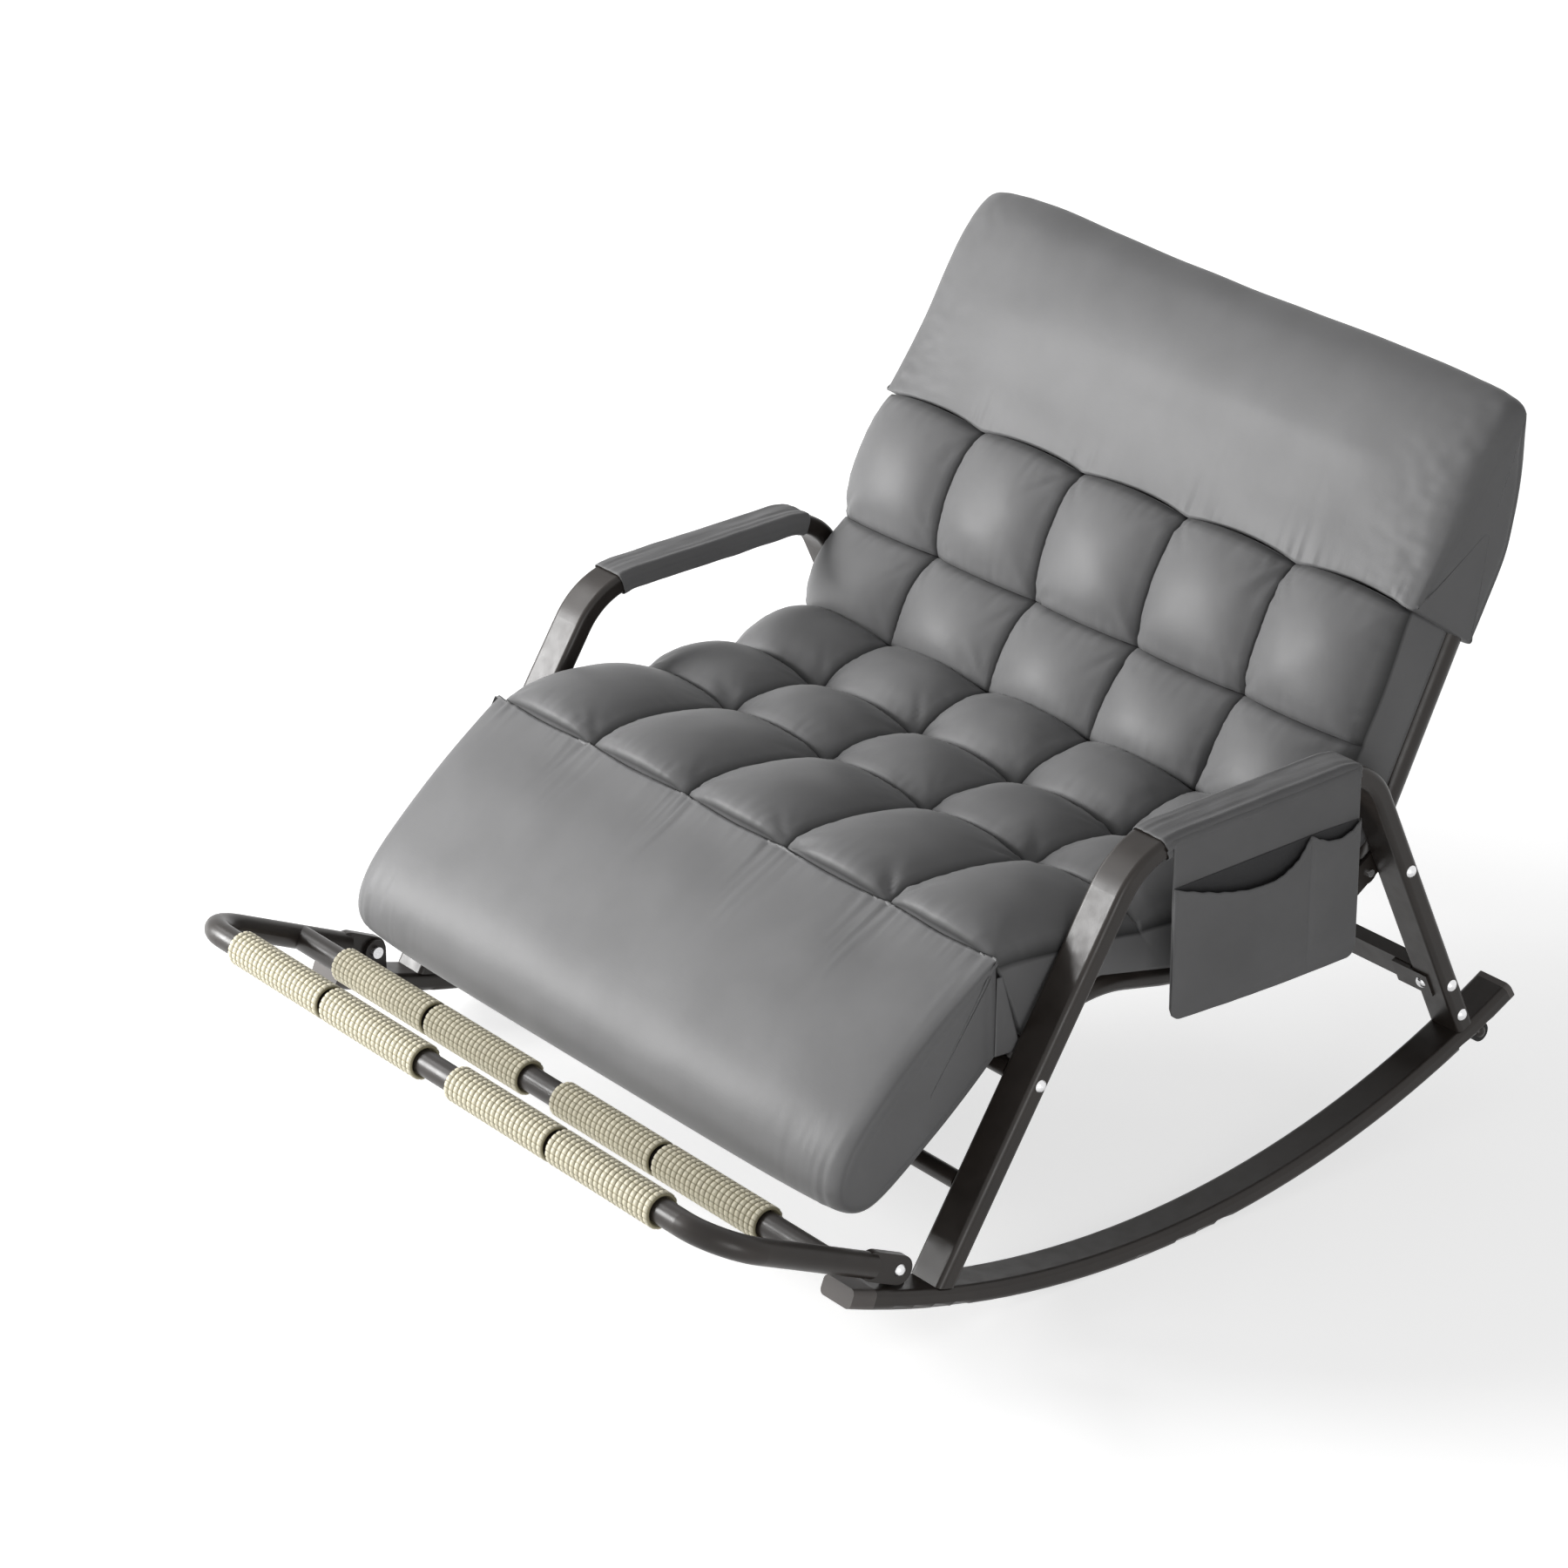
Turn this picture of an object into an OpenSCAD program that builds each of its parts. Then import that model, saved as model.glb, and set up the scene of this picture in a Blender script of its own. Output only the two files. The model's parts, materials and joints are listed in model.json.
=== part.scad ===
// Two-seat rocking lounge chair: bow rails, bent flat-tube side frames, a hinged back
// and a hinged footrest with massage rollers, all in millimetres.
// The front faces -Y, the sitter's left is +X, the floor is z = 0.

/* [Flat tube] */
// Clear width between the two side frames
frame_gap = 1092; // [1060:1:1140]
// Width of the flat tube along X
flat_w = 60; // [52:1:68]
// Thickness of the flat tube in the side view
flat_t = 28; // [26:1:31]
// Corner radius of the flat tube
flat_r = 8; // [6:0.5:9]
// Wall of the flat tube in the side frames
flat_wall = 1.5; // [1.2:0.1:2.5]

/* [Bow rails] */
// Radius of the rail's underside
rail_r = 1344; // [1300:1:1400]
// Place of the lowest point behind the middle
rail_low_y = 6; // [2:1:12]
// Level run ground on the underside, on which the chair stands at rest
rail_flat = 120; // [100:1:130]
// Run of the rail in front of its lowest point
rail_front = 489; // [480:1:500]
// Run of the rail behind its lowest point
rail_rear = 667; // [655:1:690]
// Thickness of the rail in the side view
rail_t = 27; // [25:0.5:29]
// Wall of the rail
rail_wall = 2.2; // [2:0.1:4]
// Length of the plastic cap on the rail's front end
front_cap_l = 40; // [30:1:50]
// Length of the plastic cap on the rail's rear end
rear_cap_l = 9; // [6:1:14]

/* [Side frames] */
// Height of the arm tube's axis at the front corner
arm_z = 576; // [566:1:586]
// Place of the front corner behind the middle
arm_y = -9; // [-15:1:-4]
// Run of the arm from corner to corner
arm_run = 392; // [384:1:400]
// Rise of the arm towards the rear
arm_tilt = 2.5; // [1:0.1:4]
// Slope of the front leg
front_leg_tilt = 58.2; // [57.5:0.1:59]
// Slope of the rear leg
rear_leg_tilt = 65.5; // [65:0.1:66.5]
// Bend radius of the tube's axis at the front corner
front_bend = 116; // [100:1:124]
// Bend radius of the tube's axis at the rear corner
rear_bend = 85; // [76:1:95]

/* [Cross tubes] */
// Diameter of the front cross tubes and of the seat's rear cross tube
cross_d = 25; // [22:0.5:28]
// Wall of the cross tubes
cross_wall = 1.2; // [1:0.1:2.5]
// Way down the front leg from its corner to the seat's front cross tube
seat_cross_drop = 317; // [310:1:324]
// Way down the front leg from its corner to the low cross tube
low_cross_drop = 473; // [460:1:485]
// Way down the rear leg from its corner to the flat cross tube
rear_cross_drop = 399; // [390:1:408]
// Height of the flat rear cross tube along the leg
rear_cross_h = 40; // [36:1:44]
// Depth of the flat rear cross tube
rear_cross_t = 20; // [16:1:24]

/* [Seat frame] */
// Diameter of the seat's side tubes
seat_tube_d = 33; // [30:0.5:36]
// Wall of the seat's side tubes
seat_tube_wall = 1.5; // [1.2:0.1:2.5]
// Distance between the axes of the seat's side tubes
seat_tube_gap = 1024; // [1016:1:1030]
// Run from the seat's front cross tube to the knee
knee_run = 157; // [150:1:164]
// Rise from the seat's front cross tube to the knee
knee_rise = 64; // [60:1:68]
// Run from the knee to the seat's lowest place
dip_run = 155; // [150:1:160]
// Fall from the knee to the seat's lowest place
dip_fall = 32; // [28:1:36]
// Bend radius at the knee and at the lowest place
seat_bend = 200; // [180:1:220]
// Thickness of the woven slings
sling_t = 2; // [1.5:0.1:2.5]

/* [Leg support] */
// Diameter of the loop of tube below the leg bolster
leg_loop_d = 22; // [20:0.5:24]
// Distance between the loop's side axes
leg_loop_w = 940; // [900:1:960]
// Length of the loop from the cross tube to its front bar
leg_loop_l = 190; // [170:1:205]
// Bend radius of the loop's corners
leg_loop_bend = 60; // [50:1:70]

/* [Backrest] */
// Slope of the back from the floor
back_tilt = 63.6; // [62:0.1:65]
// Diameter of the back frame's tube
back_d = 38; // [36:0.5:40]
// Wall of the back frame's tube
back_wall = 1.2; // [1:0.1:2.5]
// Height of the back frame along its slope, pivot to top bar
back_l = 438; // [430:1:442]
// Bend radius of the back frame's corners
back_bend = 70; // [60:1:80]
// Place of the recline pivot behind the middle
pivot_y = 443; // [441:0.5:444]
// Height of the recline pivot
pivot_z = 405; // [402:0.5:408]
// Diameter of the recline pivot's bolt
pivot_d = 10; // [8:0.5:12]
// Thickness of the hinge plates
plate_t = 4; // [3:0.1:4.5]

/* [Footrest] */
// Diameter of the footrest's tubes
foot_d = 35; // [33:0.5:37]
// Wall of the footrest's tubes
foot_wall = 2.5; // [2:0.1:3]
// Distance between the axes of the footrest's arms
foot_w = 1176; // [1170:1:1180]
// Length of the footrest, pivot to outer bar
foot_l = 307; // [300:1:315]
// Way from the pivot to the inner bar
foot_inner_l = 127; // [122:1:132]
// Bend radius of the footrest's corners
foot_bend = 70; // [60:1:80]
// Slope of the footrest at rest
foot_tilt = 24.2; // [23:0.1:26]
// Place of the footrest's pivot in front of the middle
foot_pivot_y = -392; // [-395:1:-388]
// Height of the footrest's pivot
foot_pivot_z = 112; // [110:1:114]
// Length of the flattened ends of the footrest's arms
foot_flat_l = 46; // [40:1:52]

/* [Massage rollers] */
// Outer diameter of a roller
roller_d = 50; // [46:0.5:52]
// Length of a roller
roller_l = 214; // [206:1:218]
// Distance of the innermost roller ends from the middle
roller_first = 38; // [34:1:42]
// Space between two neighbouring rollers
roller_gap = 9; // [7:0.5:12]
// Radial running gap of a roller on its tube
roller_play = 0.4; // [0.3:0.05:0.6]
// Height of the raised rings
rib_h = 1.6; // [1:0.1:2.5]

/* [Cushions] */
// Width of the seat and back cushions
cushion_w = 1086; // [1080:1:1088]
// Number of pads across
pads = 5; // [3:1:7]
// Crown of a pad above its tufts
crown = 26; // [15:1:35]
// Rise of the seams between their tufts
seam_rise = 10; // [4:1:16]
// Thickness of the cover and of the filling next to it
skin = 7; // [6:1:14]
// Height of the seam between the leg bolster and the seat
front_seam_z = 469; // [464:1:474]
// Place of that seam in front of the middle
front_seam_y = -194; // [-197:1:-191]
// Depths of the three rows of the seat, front to rear
seat_rows = [239, 157, 129];
// Height changes over the three rows, front to rear
seat_falls = [-20, -8, 30];
// Heights of the two rows of the back, bottom to top
back_rows = [144, 187];
// Thickness of the back cushion at its tufts
back_cushion_t = 100; // [96:1:104]

/* [Leg bolster] */
// Slope of the bolster's front
bolster_tilt = 40.2; // [39:0.1:42]
// Length of the bolster along its slope
bolster_l = 366; // [355:1:372]
// Thickness of the bolster
bolster_t = 110; // [104:1:112]
// Bulge of the bolster's middle
bolster_bulge = 12; // [6:1:16]

/* [Head pillow] */
// Width of the head pillow
pillow_w = 1096; // [1088:1:1104]
// Height of the head pillow along the back's slope
pillow_l = 322; // [310:1:332]
// Distance of the pillow's front seam from the frame's plane
pillow_front = 84; // [78:1:90]
// Bulge of the pillow's front
pillow_bulge = 46; // [36:1:52]

/* [Arm sleeves and bag] */
// Thickness of the arm sleeves' cloth
sleeve_t = 3; // [2:0.1:3.5]
// Drop of the bag below the arm's axis
bag_drop = 240; // [225:1:250]
// Thickness of the bag's cloth
bag_cloth = 2; // [1.5:0.1:2.5]
// Space inside a pocket
pocket_gap = 5; // [4.6:0.1:8]
// Depth of the wide pocket's curved mouth
mouth_sag = 34; // [28:1:38]

/* [Hidden] */

$fn = 64;
full_turn = 360;
// Facets of the wide circles that shape the rails
wide_fn = 2 * full_turn;
right_angle = 90;
half_turn = 180;

// Overrun of every cut, and of a cut along a bend in shares of the bend
over = 1;
cut_share = 0.02;
// Clearance between neighbouring solids that don't carry each other's faces
seat_gap = 0.3;
// Clearance of a bolt in its hole
bolt_gap = 0.1;
// Running clearance of the pivots, on the radius
pivot_gap = 0.1;

// Bolts
bolt_d = 8;
head_d = 17;
head_h = 5;
plug_l = 22;

// Rail placed so that its ground flat lies on the floor
rail_cz = sqrt(pow(rail_r, 2) - pow(rail_flat / 2, 2));
rail_inner_r = rail_r - rail_t;
rail_front_deg = asin(rail_front / rail_r);
rail_rear_deg = asin(rail_rear / rail_r);
front_cap_deg = front_cap_l / rail_r * half_turn / PI;
rear_cap_deg = rear_cap_l / rail_r * half_turn / PI;
plug_deg = plug_l / rail_r * half_turn / PI;
side_x = frame_gap / 2 + flat_w / 2;
outer_x = frame_gap / 2 + flat_w;

// Rubber stops under the rails' rear ends
tip_d = 28;
tip_w = 26;
tip_run = 620;
tip_gap = 3;
tip_bracket_t = 4;
tip_bracket_w = 22;

// Corners of the side frame in the YZ plane
front_corner = [arm_y, arm_z];
rear_corner = front_corner + arm_run * [1, tan(arm_tilt)];
front_leg_dir = [-cos(front_leg_tilt), -sin(front_leg_tilt)];
rear_leg_dir = [cos(rear_leg_tilt), -sin(rear_leg_tilt)];
leg_reach = arm_z / sin(front_leg_tilt) + rail_t;
seat_cross = front_corner + seat_cross_drop * front_leg_dir;
low_cross = front_corner + low_cross_drop * front_leg_dir;
rear_cross = rear_corner + rear_cross_drop * rear_leg_dir;
plate_bolt_drop = 187;
foot_bolt_drop = 454;
plate_bolt = rear_corner + plate_bolt_drop * rear_leg_dir;
foot_bolt = rear_corner + foot_bolt_drop * rear_leg_dir;
tab_l = 66;
tab_t = 3;

// Path of the seat's side tube, front to rear
knee = seat_cross + [knee_run, knee_rise];
dip = knee + [dip_run, -dip_fall];
rear_seat_back = 37;
rear_seat_fall = 19;
seat_rear = [pivot_y - rear_seat_back, pivot_z - rear_seat_fall];
rise_dir = (knee - seat_cross) / norm(knee - seat_cross);
fall_dir = (dip - knee) / norm(dip - knee);
back_dir = (seat_rear - dip) / norm(seat_rear - dip);
seat_path = [seat_cross + cross_d / 2 * rise_dir, knee, dip, seat_rear - cross_d / 2 * back_dir];
seat_tube_x = seat_tube_gap / 2;
seat_r = seat_tube_d / 2;

// Back frame: u runs up the slope from the pivot, w stands off its front
pivot = [pivot_y, pivot_z];
up_back = [cos(back_tilt), sin(back_tilt)];
off_back = [-sin(back_tilt), cos(back_tilt)];
plate_in_x = frame_gap / 2 - plate_t;
back_play = 0.5;
back_x = plate_in_x - back_play - back_d / 2;
back_sling_from = 34;

// Footrest: u runs forward from the pivot
foot_x = foot_w / 2;
foot_flat_t = 12;
foot_flat_w = 40;
lug_t = 6;
lug_gap = 0.5;
lug_in_x = foot_x - foot_flat_t / 2 - lug_gap - lug_t;
foot_pivot_d = 10;

// Rollers
roller_wall = 3.5;
roller_hub_l = 12;
ribs = 21;
rib_share = 0.5;
roller_bore_r = foot_d / 2 + roller_play;
roller_starts = [
    -roller_first - 2 * roller_l - roller_gap,
    -roller_first - roller_l,
    roller_first,
    roller_first + roller_l + roller_gap
];

// Points on the slope of the back
function on_back(u, w) = pivot + u * up_back + w * off_back;

// Lengths and headings of paths are kept to these steps
length_step = 0.001;
heading_step = 0.01;

// Heading of the path's segment i
function heading(p, i) =
    heading_step * round(atan2(p[i + 1].y - p[i].y, p[i + 1].x - p[i].x) / heading_step);

// Turn at corner i, from -180 to 180
function turn_at(p, i) = (heading(p, i) - heading(p, i - 1) + 3 * half_turn) % full_turn - half_turn;

// Length that the bend at corner i takes from each of its segments
function bend_reach(p, r, i) = (i <= 0 || i >= len(p) - 1) ? 0 : r[i - 1] * tan(abs(turn_at(p, i)) / 2);

// Straight stretch of segment i between its bends
function straight(p, r, i) =
    length_step * round((norm(p[i + 1] - p[i]) - bend_reach(p, r, i) - bend_reach(p, r, i + 1)) / length_step);

// Sweeps a 2D section along a plane path: its x axis points to the left of the way
// A cut leaves a hairline at both ends of every straight stretch
module sweep(p, r, cut = 0) {
    translate([p[0].x, p[0].y, 0]) rotate([0, 0, heading(p, 0)]) sweep_on(p, r, 0, cut) children();
}

// Segment i and all that follows, each piece drawn where the one before it ends
module sweep_on(p, r, i, cut) {
    run = straight(p, r, i);
    translate([cut, 0, 0]) stretch(run - 2 * cut) children();
    if (i < len(p) - 2) {
        turn = turn_at(p, i + 1);
        side = turn > 0 ? 1 : -1;
        translate([run, 0, 0]) bend(turn, r[i]) children();
        translate([run, side * r[i], 0])
        rotate([0, 0, turn])
        translate([0, -side * r[i], 0])
        sweep_on(p, r, i + 1, cut) children();
    }
}

// Straight piece along +X
module stretch(run) {
    rotate([right_angle, 0, right_angle]) linear_extrude(height = run) children();
}

// Bend that starts at the origin along +X and turns left or, with a negative turn, right
module bend(turn, radius) {
    mirror([0, turn > 0 ? 0 : 1, 0])
    translate([0, radius, 0])
    rotate([0, 0, -right_angle])
    rotate_extrude(angle = abs(turn))
    translate([radius, 0])
    mirror([turn > 0 ? 1 : 0, 0])
    children();
}

// Puts a drawing made in the XY plane into the YZ plane, its z along X
module to_side(x = 0) translate([x, 0, 0]) rotate([right_angle, 0, right_angle]) children();

// Rounded rectangle around the origin
module soft_rect(w, h, r) {
    square([w - 2 * r, h], center = true);
    square([w, h - 2 * r], center = true);
    for (sx = [-1, 1], sy = [-1, 1]) translate([sx * (w / 2 - r), sy * (h / 2 - r)]) circle(r);
}

// Bar along X around a point of the YZ plane
module bar_x(at, d, from, to) {
    translate([from, at.x, at.y]) rotate([0, right_angle, 0]) cylinder(d = d, h = to - from);
}

// Bolt along X whose domed head stands out at +X
module dome_bolt(at, head_x, length, d = bolt_d) {
    bar_x(at, d, head_x - length, head_x);
    dome_head(at, head_x);
}

// Domed head alone
module dome_head(at, head_x) {
    dome = (pow(head_d / 2, 2) + pow(head_h, 2)) / (2 * head_h);
    translate([head_x, at.x, at.y])
    rotate([0, right_angle, 0])
    rotate_extrude()
    intersection() {
        translate([0, head_h - dome]) circle(dome);
        square([head_d / 2, head_h]);
    }
}

// Half-space above the rails' top faces, as one long cylinder along X
module rail_core(r) {
    bar_x([rail_low_y, rail_cz], 2 * r, -outer_x - over, outer_x + over, $fn = wide_fn);
}

// Sector of a rail from one angle to another, measured from its lowest point
module rail_sector(from, to, t, w, r) {
    translate([side_x, rail_low_y, rail_cz])
    rotate([0, right_angle, 0])
    rotate([0, 0, from])
    rotate_extrude(angle = to - from, $fn = wide_fn)
    translate([rail_r - rail_t / 2, 0])
    soft_rect(t, w, r);
}

module rail() {
    from = front_cap_deg - rail_front_deg;
    to = rail_rear_deg - rear_cap_deg;
    color("#2b2522")
    difference() {
        rail_sector(from, to, rail_t, flat_w, flat_r);
        rail_sector(
            from - over, to + over,
            rail_t - 2 * rail_wall, flat_w - 2 * rail_wall, flat_r - rail_wall
        );
        translate([side_x - flat_w, rail_low_y - rail_flat, -rail_t])
            cube([2 * flat_w, 2 * rail_flat, rail_t]);
    }
}

// Cap with a plug that goes into the rail's end
module rail_cap(from, to, plug_from, plug_to) {
    plug_in = 2 * (rail_wall + seat_gap);
    color("#3a3532") {
        rail_sector(from, to, rail_t, flat_w, flat_r);
        rail_sector(
            plug_from, plug_to,
            rail_t - plug_in, flat_w - plug_in, flat_r - rail_wall - seat_gap
        );
    }
}

module rail_front_cap() {
    end = -rail_front_deg;
    seam = end + front_cap_deg;
    rail_cap(end, seam, seam - front_cap_deg / 2, seam + plug_deg);
}

module rail_rear_cap() {
    seam = rail_rear_deg - rear_cap_deg;
    rail_cap(seam, rail_rear_deg, seam - plug_deg, seam + rear_cap_deg / 2);
}

// Centre of the rubber stop under the rail
tip_r = rail_r + tip_gap + tip_d / 2;
tip_deg = asin(tip_run / tip_r);
tip_at = [rail_low_y + tip_r * sin(tip_deg), rail_cz - tip_r * cos(tip_deg)];
tip_in_x = side_x - tip_w / 2;

module tip_stop() {
    color("#1c1a19")
    difference() {
        bar_x(tip_at, tip_d, tip_in_x, tip_in_x + tip_w);
        bar_x(tip_at, bolt_d + 2 * bolt_gap, tip_in_x - over, tip_in_x + tip_w + over);
    }
}

// Tab welded below the rail, with the stop's bolt
module tip_bracket() {
    color("#2b2522") {
        difference() {
            intersection() {
                translate([tip_in_x - tip_bracket_t, tip_at.x, tip_at.y])
                rotate([right_angle - tip_deg, 0, 0])
                translate([0, -tip_bracket_w / 2, -tip_bracket_w / 2])
                cube([tip_bracket_t, tip_bracket_w, tip_bracket_w + tip_r - rail_r]);
                bar_x(tip_at, 2 * tip_bracket_w, tip_in_x - tip_bracket_t, tip_in_x);
            }
            rail_core(rail_r);
        }
        dome_bolt(tip_at, tip_in_x + tip_w, tip_w);
    }
}

// Path of the side frame, from below the rail's top over the arm and down again
side_path = [
    front_corner + leg_reach * front_leg_dir,
    front_corner,
    rear_corner,
    rear_corner + leg_reach * rear_leg_dir
];
side_bends = [front_bend, rear_bend];
leg_bolt_places = [seat_cross, plate_bolt, rear_cross, foot_bolt];

// Section of the flat tube, grown or shrunk all round
module flat_section(grow = 0) {
    soft_rect(flat_t + 2 * grow, flat_w + 2 * grow, flat_r + grow);
}

// Leg of flat tube that ends on the rail's top face, with its bolt holes
module leg(corner, tilt, reach, bolts) {
    difference() {
        intersection() {
            to_side(side_x) leg_way(corner, tilt, reach, leg_reach) flat_section();
            rail_core(rail_inner_r);
        }
        to_side(side_x) leg_way(corner, tilt, reach - over, leg_reach + over) flat_section(-flat_wall);
        for (at = bolts)
            bar_x(at, bolt_d + 2 * bolt_gap, side_x - flat_w, side_x + flat_w);
    }
}

// Stretch that runs down from a corner of the side frame
module leg_way(corner, tilt, from, to) {
    translate(corner) rotate([0, 0, tilt]) translate([from, 0, 0]) stretch(to - from) children();
}

module front_leg() {
    color("#2b2522")
    leg(front_corner, heading(side_path, 0) - half_turn, bend_reach(side_path, side_bends, 1), [seat_cross]);
}

module rear_leg() {
    color("#2b2522")
    leg(
        rear_corner, heading(side_path, 2), bend_reach(side_path, side_bends, 2),
        [plate_bolt, rear_cross, foot_bolt]
    );
}

// The stretch of the side frame that runs along the arm and into shares of both bends
module along_arm(front_share, rear_share) {
    run = straight(side_path, side_bends, 1);
    translate([front_corner.x, front_corner.y, 0])
    rotate([0, 0, heading(side_path, 1)])
    translate([bend_reach(side_path, side_bends, 1), 0, 0]) {
        stretch(run) children();
        mirror([1, 0, 0]) bend(front_share * turn_at(side_path, 1), front_bend) children();
        translate([run, 0, 0]) bend(rear_share * turn_at(side_path, 2), rear_bend) children();
    }
}

module arm_tube() {
    color("#2b2522")
    to_side(side_x)
    difference() {
        along_arm(1, 1) flat_section();
        along_arm(1 + cut_share, 1 + cut_share) flat_section(-flat_wall);
    }
}

// Round cross tube between the side frames, its plugged ends drilled for the leg bolts
module cross_tube(at, half, drilled = true) {
    difference() {
        bar_x(at, cross_d, -half, half);
        bar_x(at, cross_d - 2 * cross_wall, -half + plug_l, half - plug_l);
        if (drilled) for (s = [-1, 1])
            bar_x(at, bolt_d + 2 * bolt_gap, s > 0 ? half - plug_l + over : -half - over,
                s > 0 ? half + over : -half + plug_l - over);
    }
}

module front_low_cross_tube() {
    color("#241f1d") cross_tube(low_cross, frame_gap / 2, false);
}

module seat_front_cross_tube() {
    color("#241f1d") cross_tube(seat_cross, frame_gap / 2);
}

module seat_rear_cross_tube() {
    color("#241f1d") cross_tube(seat_rear, plate_in_x, false);
}

// Flat rear cross tube with the tabs that lie on the legs' front faces
module rear_low_cross_tube() {
    half = frame_gap / 2;
    tab_w = rear_cross_h - 2 * flat_wall;
    color("#241f1d")
    difference() {
        translate([0, rear_cross.x, rear_cross.y])
        rotate([right_angle - rear_leg_tilt, 0, 0])
        difference() {
            union() {
                translate([-half, -rear_cross_t / 2, -rear_cross_h / 2])
                    cube([2 * half, rear_cross_t, rear_cross_h]);
                for (s = [-1, 1])
                    translate([s * half - tab_l / 2, -flat_t / 2 - tab_t, -tab_w / 2])
                        cube([tab_l, tab_t, tab_w]);
                for (s = [-1, 1])
                    translate([s * (half - tab_l / 4) - tab_l / 4, -flat_t / 2, -tab_w / 2])
                        cube([tab_l / 2, (flat_t - rear_cross_t) / 2 + over, tab_w]);
            }
            translate([-half + plug_l, cross_wall - rear_cross_t / 2, cross_wall - rear_cross_h / 2])
                cube([
                    2 * (half - plug_l),
                    rear_cross_t - 2 * cross_wall,
                    rear_cross_h - 2 * cross_wall
                ]);
        }
        for (s = [-1, 1])
            bar_x(rear_cross, bolt_d + 2 * bolt_gap, s > 0 ? half - plug_l + over : -half - over,
                s > 0 ? half + over : -half + plug_l - over);
    }
}

// Small domed bolts in the tabs on the rear legs' front faces
module tab_bolts() {
    color("silver")
    for (s = [-1, 1])
        translate([s * (frame_gap / 2 + tab_l / 4), rear_cross.x, rear_cross.y])
        rotate([right_angle - rear_leg_tilt, 0, 0])
        translate([0, -flat_t / 2 - tab_t, 0])
        rotate([0, 0, -right_angle])
        dome_head([0, 0], 0);
}

// The four domed bolts of one side frame
module leg_bolts() {
    color("silver")
    for (at = leg_bolt_places)
        dome_bolt(at, outer_x, at == seat_cross || at == rear_cross ? flat_w + plug_l / 2 : flat_w + plate_t);
}

// Hairline between the bent and the straight lengths of the seat's side tubes
hairline = 0.03;

module seat_side_tube() {
    color("#241f1d")
    to_side(seat_tube_x) sweep(seat_path, [seat_bend, seat_bend], hairline) difference() {
        circle(seat_r);
        circle(seat_r - seat_tube_wall);
    }
}

// Woven sheet between the seat's side tubes, level with their tops
sling_half = seat_tube_x - sqrt(pow(seat_r, 2) - pow(seat_r - sling_t, 2)) - seat_gap;

// Points of the seat's path at a distance to its upper side
sling_steps = 6;
function upper_side(a) = [-sin(a), cos(a)];
function bend_points(p, r, i, off) =
    let (
        start = heading(p, i - 1),
        turn = turn_at(p, i),
        side = turn > 0 ? 1 : -1,
        from = p[i] - bend_reach(p, [r, r], i) * [cos(start), sin(start)],
        centre = from + side * r * upper_side(start)
    )
    [for (k = [0 : sling_steps]) centre - (side * r - off) * upper_side(start + turn * k / sling_steps)];

function along_seat(off) = concat(
    [seat_path[0] + off * upper_side(heading(seat_path, 0))],
    bend_points(seat_path, seat_bend, 1, off),
    bend_points(seat_path, seat_bend, 2, off),
    [seat_path[3] + off * upper_side(heading(seat_path, 2))]
);

module seat_sling() {
    top = along_seat(seat_r);
    low = along_seat(seat_r - sling_t);
    color("#3b3b3d")
    to_side(-sling_half) linear_extrude(height = 2 * sling_half)
        polygon(concat(top, [for (i = [len(low) - 1 : -1 : 0]) low[i]]));
}

// Loop of tube that carries the leg bolster's underside, set so high that the bolster lies on it
loop_bed_share = 0.935;
loop_bulge_share = 0.97;

module leg_support_loop() {
    side = leg_loop_w / 2;
    bed = loop_bed_share * bolster_t + loop_bulge_share * bolster_bulge + seat_gap;
    lift = (seat_cross - front_seam) * bolster_in - bed - leg_loop_d / 2;
    path = [[0, -side], [leg_loop_l, -side], [leg_loop_l, side], [0, side]];
    bends = [leg_loop_bend, leg_loop_bend];
    color("#241f1d")
    difference() {
        translate([0, seat_cross.x, seat_cross.y])
        rotate([bolster_tilt, 0, 0])
        translate([0, 0, lift])
        rotate([0, 0, -right_angle])
        difference() {
            sweep(path, bends) circle(d = leg_loop_d);
            sweep(path, bends) circle(d = leg_loop_d - 2 * cross_wall);
        }
        bar_x(seat_cross, cross_d, -frame_gap / 2, frame_gap / 2);
    }
}

// Flat link with round ends between two points
module link(from, to, w) {
    run = to - from;
    for (at = [from, to]) translate(at) circle(d = w);
    translate(from) rotate(atan2(run.y, run.x)) translate([0, -w / 2]) square([norm(run), w]);
}

// Hinge plate: one outline with round ends over the seat's rear tube and the rear leg's bolt
plate_w = 34;
plate_steps = 18;
plate_run = plate_bolt - seat_rear;
plate_turn = atan2(plate_run.y, plate_run.x);

function round_end(at, start) = [
    for (i = [0 : plate_steps])
        let (a = start + half_turn * i / plate_steps) at + plate_w / 2 * [cos(a), sin(a)]
];

module hinge_plate() {
    color("#4a241b")
    difference() {
        to_side(plate_in_x) linear_extrude(height = plate_t)
            polygon(concat(
                round_end(seat_rear, plate_turn + half_turn / 2),
                round_end(plate_bolt, plate_turn - half_turn / 2)
            ));
        bar_x(pivot, pivot_d + 2 * bolt_gap, plate_in_x - over, plate_in_x + plate_t + over);
        bar_x(plate_bolt, bolt_d + 2 * bolt_gap, plate_in_x - over, plate_in_x + plate_t + over);
    }
}

// Recline pivot: bolt with a low head outside and a nut inside
nut_d = 17;
nut_h = 6;
low_head_d = 11;
low_head_h = 4;

module recline_bolt() {
    inner_x = back_x - back_d / 2 - back_play;
    outer = plate_in_x + plate_t;
    color("silver") {
        bar_x(pivot, pivot_d, inner_x - nut_h / 2, outer + low_head_h / 2);
        bar_x(pivot, nut_d, inner_x - nut_h, inner_x);
        bar_x(pivot, low_head_d, outer, outer + low_head_h);
    }
}

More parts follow.
